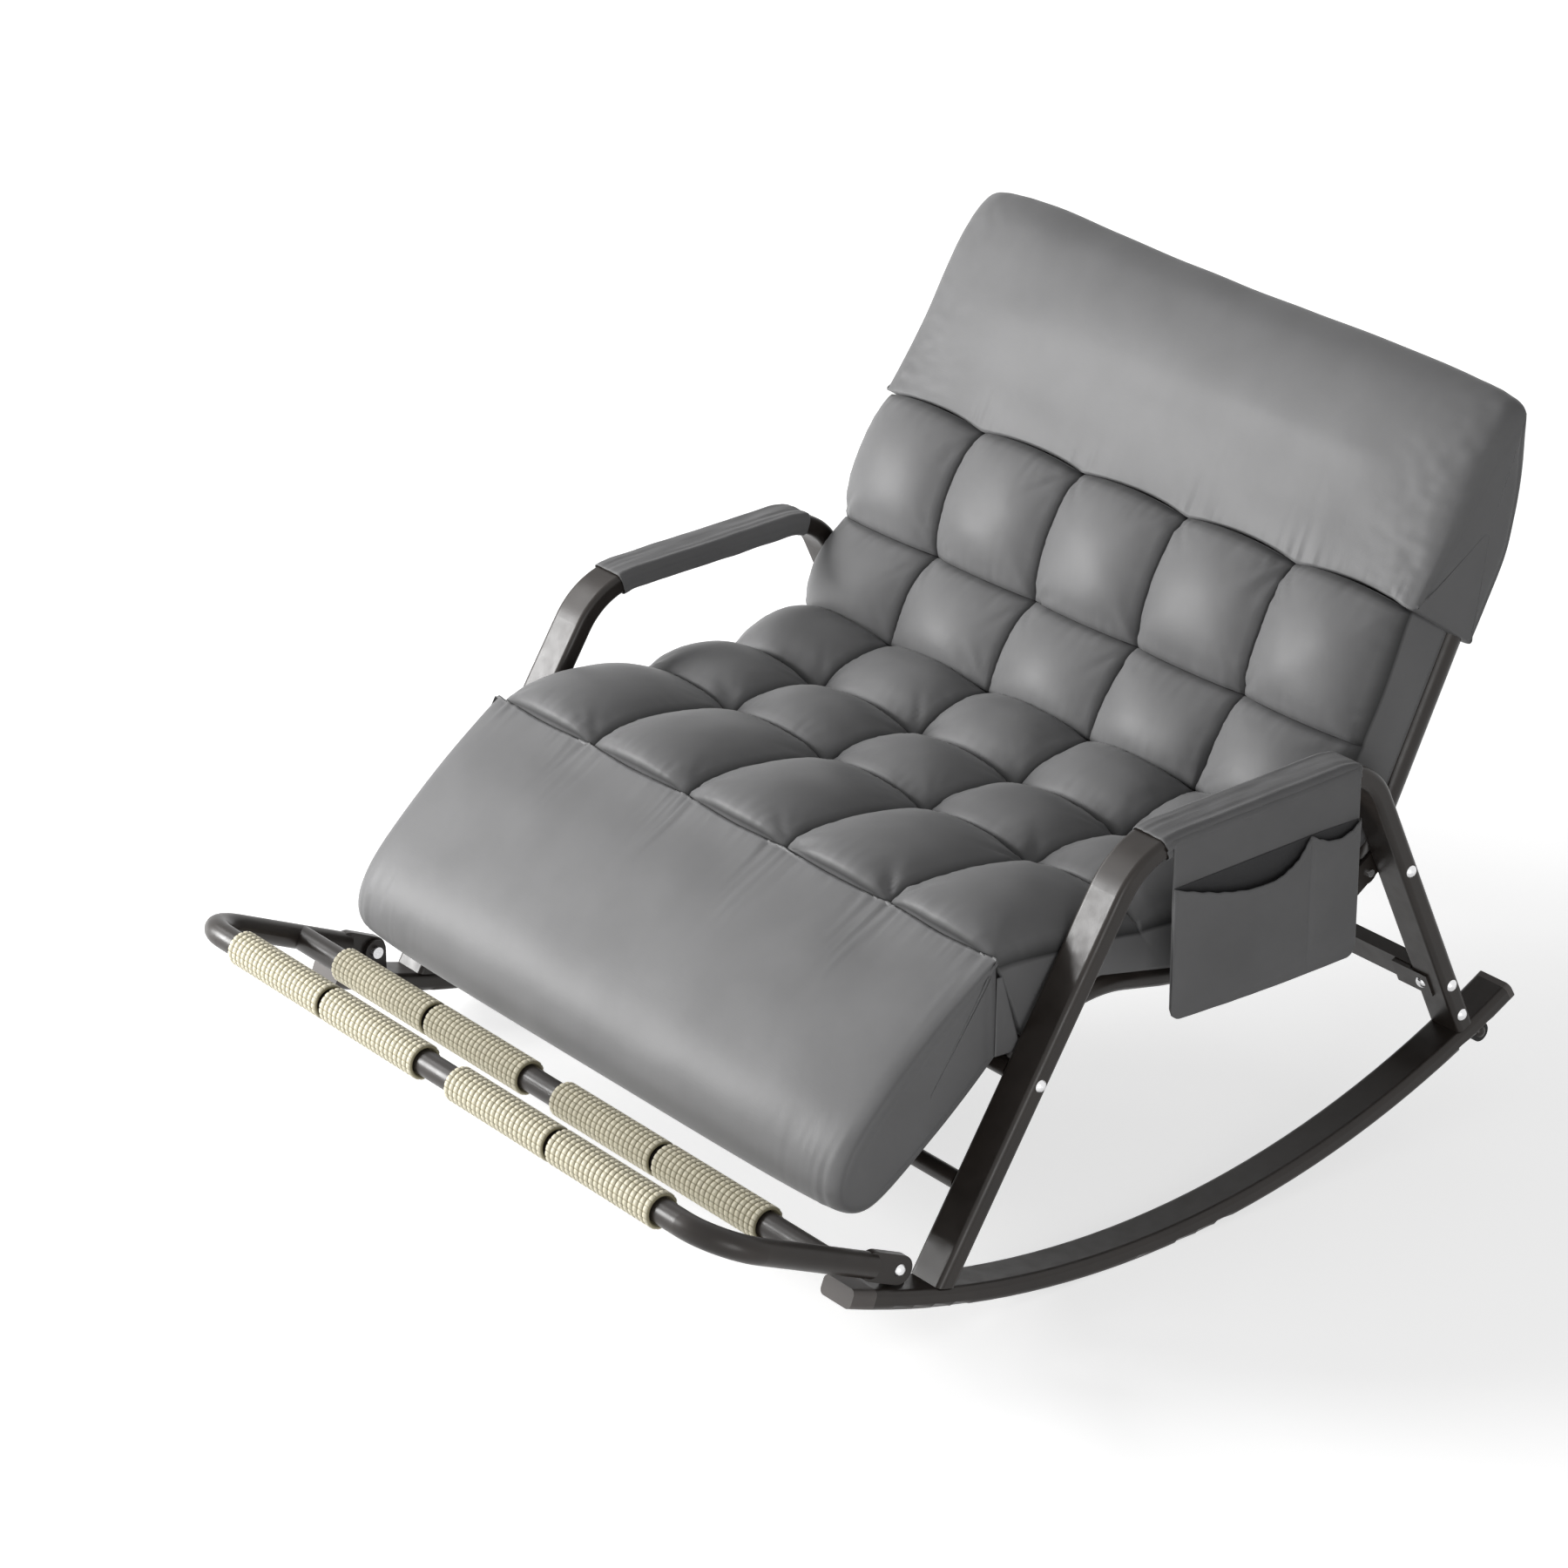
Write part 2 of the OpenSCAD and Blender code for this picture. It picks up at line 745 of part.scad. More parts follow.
// Back frame: an upturned U of round tube with a drilled boss at each foot
module back_frame() {
    boss = back_d / 2;
    path = [[0, -back_x], [back_l, -back_x], [back_l, back_x], [0, back_x]];
    bends = [back_bend, back_bend];
    color("#2b2522")
    translate([0, pivot_y, pivot_z])
    rotate([back_tilt, 0, 0])
    rotate([0, 0, right_angle])
    difference() {
        union() {
            difference() {
                sweep(path, bends) circle(d = back_d);
                sweep(path, bends) circle(d = back_d - 2 * back_wall);
            }
            for (s = [-1, 1])
                translate([0, s * back_x, 0])
                rotate([right_angle, 0, 0])
                cylinder(d = back_d, h = back_d, center = true);
        }
        for (s = [-1, 1])
            translate([0, s * back_x, 0])
            rotate([right_angle, 0, 0])
            cylinder(d = pivot_d + 2 * pivot_gap, h = back_d + 2 * over, center = true);
    }
}

// Way from the tube's axis to the sling's edge, which lies against the tube's inner side
back_sling_in = sqrt(pow(back_d / 2, 2) - pow(back_d / 2 - sling_t, 2)) + seat_gap;

module back_sling() {
    half = back_x - back_sling_in;
    top = back_l - back_sling_in;
    corner_x = back_x - back_bend;
    corner_u = back_l - back_bend;
    color("#3b3b3d")
    translate([0, pivot_y, pivot_z])
    rotate([back_tilt, 0, 0])
    translate([0, 0, back_d / 2 - sling_t])
    linear_extrude(height = sling_t) {
        translate([-half, back_sling_from]) square([2 * half, corner_u - back_sling_from]);
        translate([-corner_x, back_sling_from]) square([2 * corner_x, top - back_sling_from]);
        for (s = [-1, 1]) translate([s * corner_x, corner_u]) circle(back_bend - back_sling_in);
    }
}

// Height of a pad's crown over a share u across and v along, both counted in pads
function wave(t) = abs(sin(half_turn * t));
function pad(u, v) = crown * sqrt(wave(u) * wave(v)) + seam_rise * (wave(u) + wave(v)) / 2;

// Cells across one pad, and along one row of pads
cells = 8;
row_cells = 7;
drawn_in = 7;

// Place on a chain of points at t, counted in its segments
function on_chain(p, t) = let (i = min(floor(t), len(p) - 2)) p[i] + (t - i) * (p[i + 1] - p[i]);

// Solid through rings of points: top_n along the face, the rest back along the underside
module quilt(rings, top_n) {
    ring_n = len(rings[0]);
    low_n = ring_n - top_n;
    last = len(rings) - 1;
    step = (top_n - 1) / (low_n - 1);
    function top_at(j, i) = j * ring_n + i;
    function low_at(j, i) = j * ring_n + ring_n - 1 - i;
    function low_for(i) = floor((i + 0.5) / step + 0.5);
    function top_for(i) = ceil(step * i + (step - 1) / 2);
    sides = [
        for (j = [0 : last - 1], k = [0 : ring_n - 1], half = [0, 1])
            let (
                a = j * ring_n + k,
                b = j * ring_n + (k + 1) % ring_n,
                c = (j + 1) * ring_n + (k + 1) % ring_n,
                d = (j + 1) * ring_n + k
            )
            half == 0 ? [a, b, c] : [a, c, d]
    ];
    caps = [
        for (end = [0, 1], i = [0 : top_n - 2])
            end == 0
                ? [top_at(0, i + 1), top_at(0, i), low_at(0, low_for(i))]
                : [top_at(last, i), top_at(last, i + 1), low_at(last, low_for(i))]
    ];
    low_caps = [
        for (end = [0, 1], i = [0 : low_n - 2])
            end == 0
                ? [top_at(0, top_for(i)), low_at(0, i), low_at(0, i + 1)]
                : [low_at(last, i), top_at(last, top_for(i)), low_at(last, i + 1)]
    ];
    polyhedron([for (ring = rings) each ring], concat(sides, caps, low_caps));
}

// Rings of a quilted cushion: a face chain with pads, a chain below, and the way the pads stand up
function quilt_rings(face, below, rows, out) = [
    for (j = [0 : pads * cells])
        let (
            u = j / cells,
            x = cushion_w * (u / pads - 0.5)
        )
        concat(
            [
                for (i = [0 : rows * row_cells])
                    let (
                        v = i / row_cells,
                        p = on_chain(face, v) + pad(u, v) * out,
                        inset = 1 - 2 * drawn_in * (1 - wave(v)) / cushion_w
                    )
                    [x * inset, p.x, p.y]
            ],
            [for (i = [len(below) - 1 : -1 : 0]) [x * (1 - 2 * drawn_in / cushion_w), below[i].x, below[i].y]]
        )
];

front_seam = [front_seam_y, front_seam_z];
seam_play = seat_gap / 2;

// Seat cushion: three rows of pads, its underside on the sling
seat_face = [
    front_seam + [seam_play, 0],
    front_seam + [seat_rows[0], seat_falls[0]],
    front_seam + [seat_rows[0] + seat_rows[1], seat_falls[0] + seat_falls[1]],
    front_seam + [
        seat_rows[0] + seat_rows[1] + seat_rows[2],
        seat_falls[0] + seat_falls[1] + seat_falls[2]
    ]
];
function left_of(d) = [-d.y, d.x];
under_off = seat_r + seat_gap;
knee_side = left_of(rise_dir + fall_dir) / norm(rise_dir + fall_dir);
knee_top = knee + under_off / cos(turn_at(seat_path, 1) / 2) * knee_side;
dip_reach = bend_reach(seat_path, [seat_bend, seat_bend], 2);
seat_under_front = 40;
seat_under_rear = 12;
seat_below = [
    seat_cross + seat_under_front * rise_dir + under_off * left_of(rise_dir),
    knee_top,
    dip - dip_reach * fall_dir + under_off * left_of(fall_dir),
    dip + dip_reach * back_dir + under_off * left_of(back_dir),
    seat_rear - seat_under_rear * back_dir + under_off * left_of(back_dir)
];

// Hollow inside the padding that stands for its light filling
module hollow(points, half) {
    to_side(-half) linear_extrude(height = 2 * half) polygon(points);
}

module seat_cushion() {
    low = [for (p = seat_below) p + [0, skin]];
    high = [for (p = seat_face) p - [0, skin]];
    color("#6f7173")
    difference() {
        quilt(quilt_rings(seat_face, seat_below, len(seat_rows), [0, 1]), len(seat_rows) * row_cells + 1);
        hollow(
            concat(
                [low[0] + [skin, 0], low[1], low[2], low[3], low[4] - [skin, 0]],
                [high[3] - [2 * skin, skin], high[2], high[1], high[0] + [2 * skin, -skin]]
            ),
            cushion_w / 2 - 3 * skin
        );
    }
}

// Rings of a plain padded roll: a profile blended from its side shape to its fuller middle
stations = 20;

function roll_rings(side, middle, w) = [
    for (j = [0 : stations])
        let (
            share = j / stations,
            full = pow(sin(half_turn * share), 0.5),
            x = w * (share - 0.5)
        )
        [
            for (i = [0 : len(side) - 1])
                let (p = side[i] + full * (middle[i] - side[i]))
                [x, p.x, p.y]
        ]
];

// Leg bolster, its profile in shares of its length and thickness: along the slope, then inwards
bolster_dir = [-cos(bolster_tilt), -sin(bolster_tilt)];
bolster_in = [sin(bolster_tilt), -cos(bolster_tilt)];
bolster_n = 10;
bolster_shares = [
    [0, 0], [0.12, -0.04], [0.35, -0.06], [0.62, -0.04], [0.82, 0], [0.92, 0.12],
    [0.985, 0.34], [1, 0.56], [0.96, 0.78], [0.86, 0.9], [0.62, 0.98], [0.42, 1], [0.235, 0.985]
];
bolster_fill_shares = [[0, 0], [0, 0], [0, -1], [0, -1.2], [0.2, -1.1], [0.6, -0.8],
    [1, -0.2], [1, 0.4], [0.8, 0.9], [0.2, 1], [0, 0.2], [0, 0], [0, 0]];

// Outline of the bolster's hollow in the same shares
bolster_hollow_shares = [[0.2, 0.3], [0.6, 0.25], [0.75, 0.4], [0.72, 0.7], [0.35, 0.75]];

function on_bolster(s) = front_seam - [seam_play, 0] + s.x * bolster_l * bolster_dir + s.y * bolster_t * bolster_in;

module leg_bolster() {
    side = [for (s = bolster_shares) on_bolster(s)];
    middle = [
        for (i = [0 : len(side) - 1])
            side[i] + bolster_bulge * (bolster_fill_shares[i].x * bolster_dir + bolster_fill_shares[i].y * bolster_in)
    ];
    color("#6f7173")
    difference() {
        quilt(roll_rings(side, middle, cushion_w), bolster_n);
        hollow([for (s = bolster_hollow_shares) on_bolster(s)], cushion_w / 2 - 3 * skin);
    }
}

// Arm sleeve: a cloth tube round the arm that reaches a little way into both bends
sleeve_front_share = 0.25;
sleeve_rear_share = 0.32;

module arm_sleeve() {
    color("#606264")
    to_side(side_x)
    difference() {
        along_arm(sleeve_front_share, sleeve_rear_share) flat_section(sleeve_t + seat_gap);
        along_arm(sleeve_front_share + cut_share, sleeve_rear_share + cut_share)
            flat_section(seat_gap);
    }
}

// Side bag: a back sheet, two pockets, curved mouths
bag_in_x = outer_x + seat_gap + sleeve_t + seat_gap;
bag_t = 2 * bag_cloth + pocket_gap;
bag_from = 43;
bag_l = 322;
bag_r = 16;
bag_top = 8;
bag_mouth = 62;
wide_l = 232;
divider_t = 3;
hem_share = 0.12;

module bag_outline() {
    base = arm_z - bag_drop;
    y = arm_y + bag_from;
    translate([y + bag_r, base]) square([bag_l - 2 * bag_r, bag_drop - bag_top]);
    translate([y, base + bag_r]) square([bag_l, bag_drop - bag_top - bag_r]);
    for (at = [y + bag_r, y + bag_l - bag_r]) translate([at, base + bag_r]) circle(bag_r);
}

// One pocket's space between its front and back sheets, open at the top
module pocket_space(from, to) {
    translate([arm_y + bag_from + from, arm_z - bag_drop + 2 * bag_cloth])
        square([to - from, bag_drop]);
}

// Dip of a pocket's front edge: a segment of a circle under the mouth's level
module mouth_dip(from, to, sag) {
    half = (to - from) / 2;
    r = (pow(half, 2) + pow(sag, 2)) / (2 * sag);
    level = arm_z - bag_mouth;
    translate([arm_y + bag_from + (from + to) / 2, level]) intersection() {
        translate([0, r - sag]) circle(r);
        translate([-half, -2 * sag]) square([2 * half, 2 * sag + over]);
    }
}

module side_bag() {
    color("#606264")
    difference() {
        to_side(bag_in_x) linear_extrude(height = bag_t) bag_outline();
        to_side(bag_in_x + bag_cloth) linear_extrude(height = pocket_gap) {
            pocket_space(2 * bag_cloth, wide_l);
            pocket_space(wide_l + divider_t, bag_l - 2 * bag_cloth);
        }
        to_side(bag_in_x + bag_cloth + pocket_gap / 2) linear_extrude(height = bag_t) {
            mouth_dip(2 * bag_cloth + over, wide_l - over, mouth_sag);
            mouth_dip(wide_l + divider_t + over, bag_l - 2 * bag_cloth - over, hem_share * bag_l / 2);
        }
        to_side(bag_in_x + bag_cloth) linear_extrude(height = bag_t)
            translate([arm_y, arm_z - bag_mouth]) square([2 * bag_l, bag_drop]);
    }
}

// Back cushion: two rows of pads, its padded rear on the sling
back_seat_play = 3;
back_tuft_w = back_d / 2 + seat_gap + back_cushion_t;
back_low_u = 12;
// How far the foot of the face stands out and its middle seam lies in
back_foot_full = 7;
back_waist_in = 5;
back_face = [
    on_back(back_low_u + back_seat_play, back_tuft_w + back_foot_full),
    on_back(back_low_u + back_rows[0], back_tuft_w - back_waist_in),
    on_back(back_low_u + back_rows[0] + back_rows[1] - seam_play, back_tuft_w)
];
back_side_w = 40;
back_under_w = back_d / 2 + seat_gap;
back_below = [
    on_back(back_low_u + back_seat_play + back_side_w, back_under_w),
    on_back(back_low_u + back_rows[0] + back_rows[1] - back_side_w, back_under_w)
];

module back_cushion() {
    low = [for (p = back_below) p + skin * off_back];
    high = [for (p = back_face) p - skin * off_back];
    color("#6f7173")
    difference() {
        quilt(
            quilt_rings(back_face, back_below, len(back_rows), off_back),
            len(back_rows) * row_cells + 1
        );
        hollow(
            [low[0] + skin * up_back, low[1] - skin * up_back, high[2] - 2 * skin * up_back,
                high[1], high[0] + 2 * skin * up_back],
            cushion_w / 2 - 3 * skin
        );
    }
}

// Head pillow: profile as [share of its height, distance from the frame's plane in shares of its front seam]
pillow_from = 345;
pillow_n = 11;
pillow_shares = [
    [0, 1.31], [0.12, 1.2], [0.26, 1.09], [0.41, 0.99], [0.55, 0.93], [0.68, 0.87], [0.79, 0.77], [0.87, 0.66],
    [0.91, 0.55], [0.9, 0.44], [0.81, 0.29], [0.655, 0.02], [0.5, -0.18], [0.335, -0.32], [0.12, -0.32], [-0.06, -0.3]
];
pillow_fill_shares = [
    [0, 0], [0, 0.27], [0, 0.55], [0, 0.87], [0, 1.08], [0.28, 1.08], [0.56, 0.95], [0.56, 0.75],
    [0.63, 0.42], [0.7, 0.11], [0.75, -0.16], [0.6, -0.18], [0.2, -0.13], [0, 0], [0, 0], [0, 0]
];
// Outlines of the pillow's hollow in the same shares: along its whole width, and in its fuller middle
pillow_hollow_shares = [
    [0.03, 0.34], [0.4, 0.34], [0.4, -0.12], [0.5, -0.07], [0.64, 0.13], [0.79, 0.39], [0.87, 0.48],
    [0.88, 0.54], [0.84, 0.61], [0.76, 0.69], [0.66, 0.77], [0.55, 0.83], [0.41, 0.89], [0.26, 0.99],
    [0.12, 1.09], [0.03, 1.17]
];
pillow_middle_shares = [
    [0.16, 0.7], [0.8, 0.5], [0.92, 0.54], [0.92, 0.66], [0.88, 0.84], [0.8, 0.98], [0.68, 1.1],
    [0.55, 1.15], [0.41, 1.15], [0.26, 1.13], [0.16, 1.13]
];
pillow_middle_in = 130;
pocket_play = 1;

function on_pillow(s) = on_back(pillow_from + s.x * pillow_l, s.y * pillow_front);

module head_pillow() {
    side = [for (s = pillow_shares) on_pillow(s)];
    middle = [
        for (i = [0 : len(side) - 1])
            side[i] + pillow_bulge * (pillow_fill_shares[i].x * up_back + pillow_fill_shares[i].y * off_back)
    ];
    color("#6f7173")
    difference() {
        quilt(roll_rings(side, middle, pillow_w), pillow_n);
        translate([0, pivot_y, pivot_z])
        rotate([back_tilt, 0, 0])
        translate([-back_x - back_d / 2 - pocket_play, pillow_from - pillow_front, -back_d / 2 - pocket_play])
        cube([
            2 * back_x + back_d + 2 * pocket_play,
            back_l + back_d / 2 + pocket_play - pillow_from + pillow_front,
            back_d + 2 * pocket_play
        ]);
        hollow([for (s = pillow_hollow_shares) on_pillow(s)], pillow_w / 2 - 3 * skin);
        hollow([for (s = pillow_middle_shares) on_pillow(s)], pillow_w / 2 - pillow_middle_in);
    }
}

// Puts a drawing in the footrest's plane: x runs forward from the pivot, y across
module in_footrest() {
    translate([0, foot_pivot_y, foot_pivot_z])
    rotate([-foot_tilt, 0, 0])
    rotate([0, 0, -right_angle])
    children();
}

foot_path = [[foot_flat_l, -foot_x], [foot_l, -foot_x], [foot_l, foot_x], [foot_flat_l, foot_x]];
foot_bends = [foot_bend, foot_bend];

module footrest_frame() {
    color("#2b2522")
    in_footrest()
    difference() {
        union() {
            difference() {
                sweep(foot_path, foot_bends) circle(d = foot_d);
                sweep(foot_path, foot_bends) circle(d = foot_d - 2 * foot_wall);
            }
            for (s = [-1, 1])
                translate([0, s * foot_x, 0])
                rotate([right_angle, 0, 0])
                linear_extrude(height = foot_flat_t, center = true)
                link([0, 0], [foot_flat_l, 0], foot_flat_w);
        }
        for (s = [-1, 1])
            translate([0, s * foot_x, 0])
            rotate([right_angle, 0, 0])
            cylinder(d = foot_pivot_d + 2 * pivot_gap, h = 2 * foot_flat_t, center = true);
    }
}

// Straight cross tube of the footrest, coped to its arms
module footrest_inner_tube() {
    color("#2b2522")
    in_footrest()
    difference() {
        translate([foot_inner_l, 0, 0]) rotate([right_angle, 0, 0])
            cylinder(d = foot_d, h = foot_w, center = true);
        translate([foot_inner_l, 0, 0]) rotate([right_angle, 0, 0])
            cylinder(d = foot_d - 2 * foot_wall, h = foot_w - foot_d - plug_l, center = true);
        for (s = [-1, 1])
            translate([0, s * foot_x, 0]) rotate([0, right_angle, 0]) cylinder(d = foot_d, h = foot_l);
    }
}

foot_pivot = [foot_pivot_y, foot_pivot_z];

// Lug welded on the rail, inboard of the footrest's arm
module footrest_lug() {
    base = 34;
    color("#2b2522")
    intersection() {
        difference() {
            to_side(lug_in_x) linear_extrude(height = lug_t) {
                translate(foot_pivot) circle(d = base);
                translate(foot_pivot - [base / 2, base]) square([base, base]);
            }
            bar_x(foot_pivot, foot_pivot_d + 2 * bolt_gap, lug_in_x - over, lug_in_x + lug_t + over);
        }
        rail_core(rail_inner_r);
    }
}

module footrest_bolt() {
    outer = foot_x + foot_flat_t / 2 + lug_gap;
    color("silver") {
        dome_bolt(foot_pivot, outer, outer - lug_in_x + nut_h / 2, foot_pivot_d);
        bar_x(foot_pivot, nut_d, lug_in_x - nut_h, lug_in_x);
    }
}

// Massage roller: raised rings on a barrel, thick hubs that run on the tube, hollow end faces
module roller(index) {
    bar = index < len(roller_starts) ? foot_l : foot_inner_l;
    start = roller_starts[index % len(roller_starts)];
    pitch = roller_l / ribs;
    barrel_r = roller_d / 2 - rib_h;
    color("#e6dfca")
    in_footrest()
    translate([bar, start, 0])
    rotate([-right_angle, 0, 0])
    difference() {
        union() {
            cylinder(r = barrel_r, h = roller_l);
            for (i = [0 : ribs - 1])
                translate([0, 0, (i + (1 - rib_share) / 2) * pitch])
                cylinder(r = barrel_r + rib_h, h = rib_share * pitch);
        }
        translate([0, 0, -over]) cylinder(r = roller_bore_r, h = roller_l + 2 * over);
        for (z = [-over, roller_l - roller_hub_l])
            translate([0, 0, z]) cylinder(r = barrel_r - roller_wall, h = roller_hub_l + over);
    }
}

// The right side's pieces are mirror images
module mirrored() mirror([1, 0, 0]) children();

rail();  // rail_left
mirrored() rail();  // rail_right
rail_front_cap();  // rail_front_cap_left
mirrored() rail_front_cap();  // rail_front_cap_right
rail_rear_cap();  // rail_rear_cap_left
mirrored() rail_rear_cap();  // rail_rear_cap_right
tip_stop();  // tip_stop_left
mirrored() tip_stop();  // tip_stop_right
tip_bracket();  // tip_bracket_left
mirrored() tip_bracket();  // tip_bracket_right
front_leg();  // front_leg_left
mirrored() front_leg();  // front_leg_right
arm_tube();  // arm_tube_left
mirrored() arm_tube();  // arm_tube_right
rear_leg();  // rear_leg_left
mirrored() rear_leg();  // rear_leg_right
seat_side_tube();  // seat_side_tube_left
mirrored() seat_side_tube();  // seat_side_tube_right
hinge_plate();  // hinge_plate_left
mirrored() hinge_plate();  // hinge_plate_right
recline_bolt();  // recline_bolt_left
mirrored() recline_bolt();  // recline_bolt_right
leg_bolts();  // leg_bolts_left
mirrored() leg_bolts();  // leg_bolts_right
arm_sleeve();  // arm_sleeve_left
mirrored() arm_sleeve();  // arm_sleeve_right
footrest_lug();  // footrest_lug_left
mirrored() footrest_lug();  // footrest_lug_right
footrest_bolt();  // footrest_bolt_left
mirrored() footrest_bolt();  // footrest_bolt_right
front_low_cross_tube();
rear_low_cross_tube();
seat_front_cross_tube();
seat_rear_cross_tube();
seat_sling();
leg_support_loop();
tab_bolts();
leg_bolster();
seat_cushion();
side_bag();
back_frame();
back_sling();
back_cushion();
head_pillow();
footrest_frame();
footrest_inner_tube();
for (i = [1 : 2 * len(roller_starts)])
    roller(i - 1);
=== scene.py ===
"""Two-seat rocking lounge chair: cushions, cloth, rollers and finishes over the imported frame.

The front faces -Y, the sitter's left is +X. Shapes are worked out in millimetres and
brought to metres when a piece is finished. Points in a side view are (y, z).
"""
import json
import math

import bmesh
import bpy
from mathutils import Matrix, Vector, noise


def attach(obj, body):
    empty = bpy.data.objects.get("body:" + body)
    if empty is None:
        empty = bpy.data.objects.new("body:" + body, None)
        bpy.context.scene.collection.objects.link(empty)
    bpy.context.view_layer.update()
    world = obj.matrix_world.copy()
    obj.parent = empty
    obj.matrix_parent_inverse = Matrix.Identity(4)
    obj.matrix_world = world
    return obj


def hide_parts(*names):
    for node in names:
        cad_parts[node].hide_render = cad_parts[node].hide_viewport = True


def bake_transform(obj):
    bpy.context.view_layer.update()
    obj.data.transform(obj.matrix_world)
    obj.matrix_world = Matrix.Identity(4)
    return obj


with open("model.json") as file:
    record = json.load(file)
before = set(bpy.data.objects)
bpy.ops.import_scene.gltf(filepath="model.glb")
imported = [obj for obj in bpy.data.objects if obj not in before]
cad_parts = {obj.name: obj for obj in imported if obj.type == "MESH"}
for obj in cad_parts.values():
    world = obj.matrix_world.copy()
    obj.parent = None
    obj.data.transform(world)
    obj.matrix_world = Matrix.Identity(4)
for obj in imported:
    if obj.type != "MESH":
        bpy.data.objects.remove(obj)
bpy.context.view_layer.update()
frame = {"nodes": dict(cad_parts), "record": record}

MM = 0.001
HALF_TURN = math.pi
FULL_TURN = 2 * math.pi
QUARTER = 0.25

# Cushions' shared sizes
CUSHION_W = 1086
PADS = 5
PAD_W = CUSHION_W / PADS
PAD_CELLS = 42
CELL = 5.2

# Pads' end seams, pushed out between the tufts, and how far that reaches
SCALLOP = 9
SCALLOP_REACH = 25

# Backrest's plane: its pivot, the way up its slope and the way out of its front
PIVOT = Vector((443, 405))
UP_BACK = Vector((0.4446, 0.8957))
OFF_BACK = Vector((-0.8957, 0.4446))
BACK_TUBE_R = 19

# Leg bolster's plane: the way down its slope and the way into its padding
FRONT_SEAM = Vector((-194, 469))
BOLSTER_DOWN = Vector((-0.7638, -0.6455))
BOLSTER_IN = Vector((0.6455, -0.7638))

# Arm tube: its corners, bends and section
ARM_FRONT = Vector((-9, 576))
ARM_REAR = Vector((383, 593.1))
ARM_TILT = math.radians(2.5)
FRONT_BEND = 116
REAR_BEND = 85
FRONT_TURN = math.radians(55.7)
REAR_TURN = math.radians(68)
SIDE_X = 576
ARM_HALF_W = 30
ARM_HALF_T = 14
ARM_CORNER_R = 8


def on_back(up, off):
    """Point of the side view at a way up the back's slope and off its plane."""
    return PIVOT + up * UP_BACK + off * OFF_BACK


def ease(t):
    """Smooth step from 0 at 0 to 1 at 1."""
    t = min(max(t, 0.0), 1.0)
    return t * t * (3 - 2 * t)


def swell(a, fullness=2.6):
    """Height of a stuffed form over a share a, from -1 to 1 across it."""
    return math.sqrt(max(0.0, 1 - abs(a) ** fullness))


def bell(off, half_w):
    """Smooth bump: 1 at its middle, fading over its half width."""
    return math.exp(-((off / half_w) ** 2))


def unevenness(x, y, waves, seed):
    """Noise at a place, for waves of (height, length one way, length the other way)."""
    height, length_x, length_y = waves
    return height * noise.noise(Vector((x / length_x, y / length_y, seed)))


def chain_at(points, share):
    """Point at a share of a chain's length."""
    lengths = [(b - a).length for a, b in zip(points, points[1:])]
    way = share * sum(lengths)
    for start, end, length in zip(points, points[1:], lengths):
        if way <= length or end is points[-1]:
            return start.lerp(end, min(way / length, 1.0))
        way -= length


def chain_way(points, share, step):
    """Way along a chain at a share of its length, over a step to each side."""
    return chain_at(points, min(share + step, 1)) - chain_at(points, max(share - step, 0))


def place_on(point, origin, along, across):
    """Place of a point in a plane, along and across it from its origin."""
    return (point - origin).dot(along), (point - origin).dot(across)


def rounded(points, steps, sharp=()):
    """Closed smooth outline through points, pointed only at the listed ones."""
    count = len(points)
    outline = []
    for i in range(count):
        before, start, end, after = (points[(i + k) % count] for k in (-1, 0, 1, 2))
        leave = (end - start) if i in sharp else (end - before) / 2
        arrive = (end - start) if (i + 1) % count in sharp else (after - start) / 2
        for k in range(steps[i]):
            t = k / steps[i]
            outline.append(
                (2 * t**3 - 3 * t**2 + 1) * start
                + (t**3 - 2 * t**2 + t) * leave
                + (3 * t**2 - 2 * t**3) * end
                + (t**3 - t**2) * arrive
            )
    return outline


def from_tuft(x):
    """Distance across the cushions from a place to the nearest line of tufts."""
    return abs((x / PAD_W) % 1 - 0.5) * PAD_W


def scallop(x):
    """Share, 0 at the tufts and 1 between them, by which the stuffed pads push their end seam out."""
    return 1 - (1 - 2 * from_tuft(x) / PAD_W) ** 2


def steps_for(points, spacing):
    """Cells for each side of a closed outline, at about an even spacing."""
    closed = points + points[:1]
    return [max(1, round((b - a).length / spacing)) for a, b in zip(closed, closed[1:])]


def outward(outline):
    """Unit ways out of a closed outline at its points."""
    count = len(outline)
    area = sum(outline[i - 1].cross(outline[i]) for i in range(count))
    side = 1 if area > 0 else -1
    ways = []
    for i in range(count):
        along = outline[(i + 1) % count] - outline[i - 1]
        ways.append(side * Vector((along.y, -along.x)).normalized())
    return ways


def cut_upright(bm, parts):
    """Cut the edges along Z into equal parts."""
    upright = [e for e in bm.edges if abs(e.verts[0].co.z - e.verts[1].co.z) > 0.5]
    bmesh.ops.subdivide_edges(bm, edges=upright, cuts=parts - 1)


def slab(columns, rows, layers):
    """Closed block of quads with corners at 0 and 1, cut into columns, rows and layers."""
    bm = bmesh.new()
    bmesh.ops.create_grid(bm, x_segments=columns, y_segments=rows, size=0.5)
    bmesh.ops.translate(bm, verts=bm.verts, vec=(0.5, 0.5, 0))
    raised = bmesh.ops.extrude_face_region(bm, geom=bm.faces[:], use_keep_orig=True)["geom"]
    corners = [v for v in raised if isinstance(v, bmesh.types.BMVert)]
    bmesh.ops.translate(bm, verts=corners, vec=(0, 0, 1))
    if layers > 1:
        cut_upright(bm, layers)
    return bm


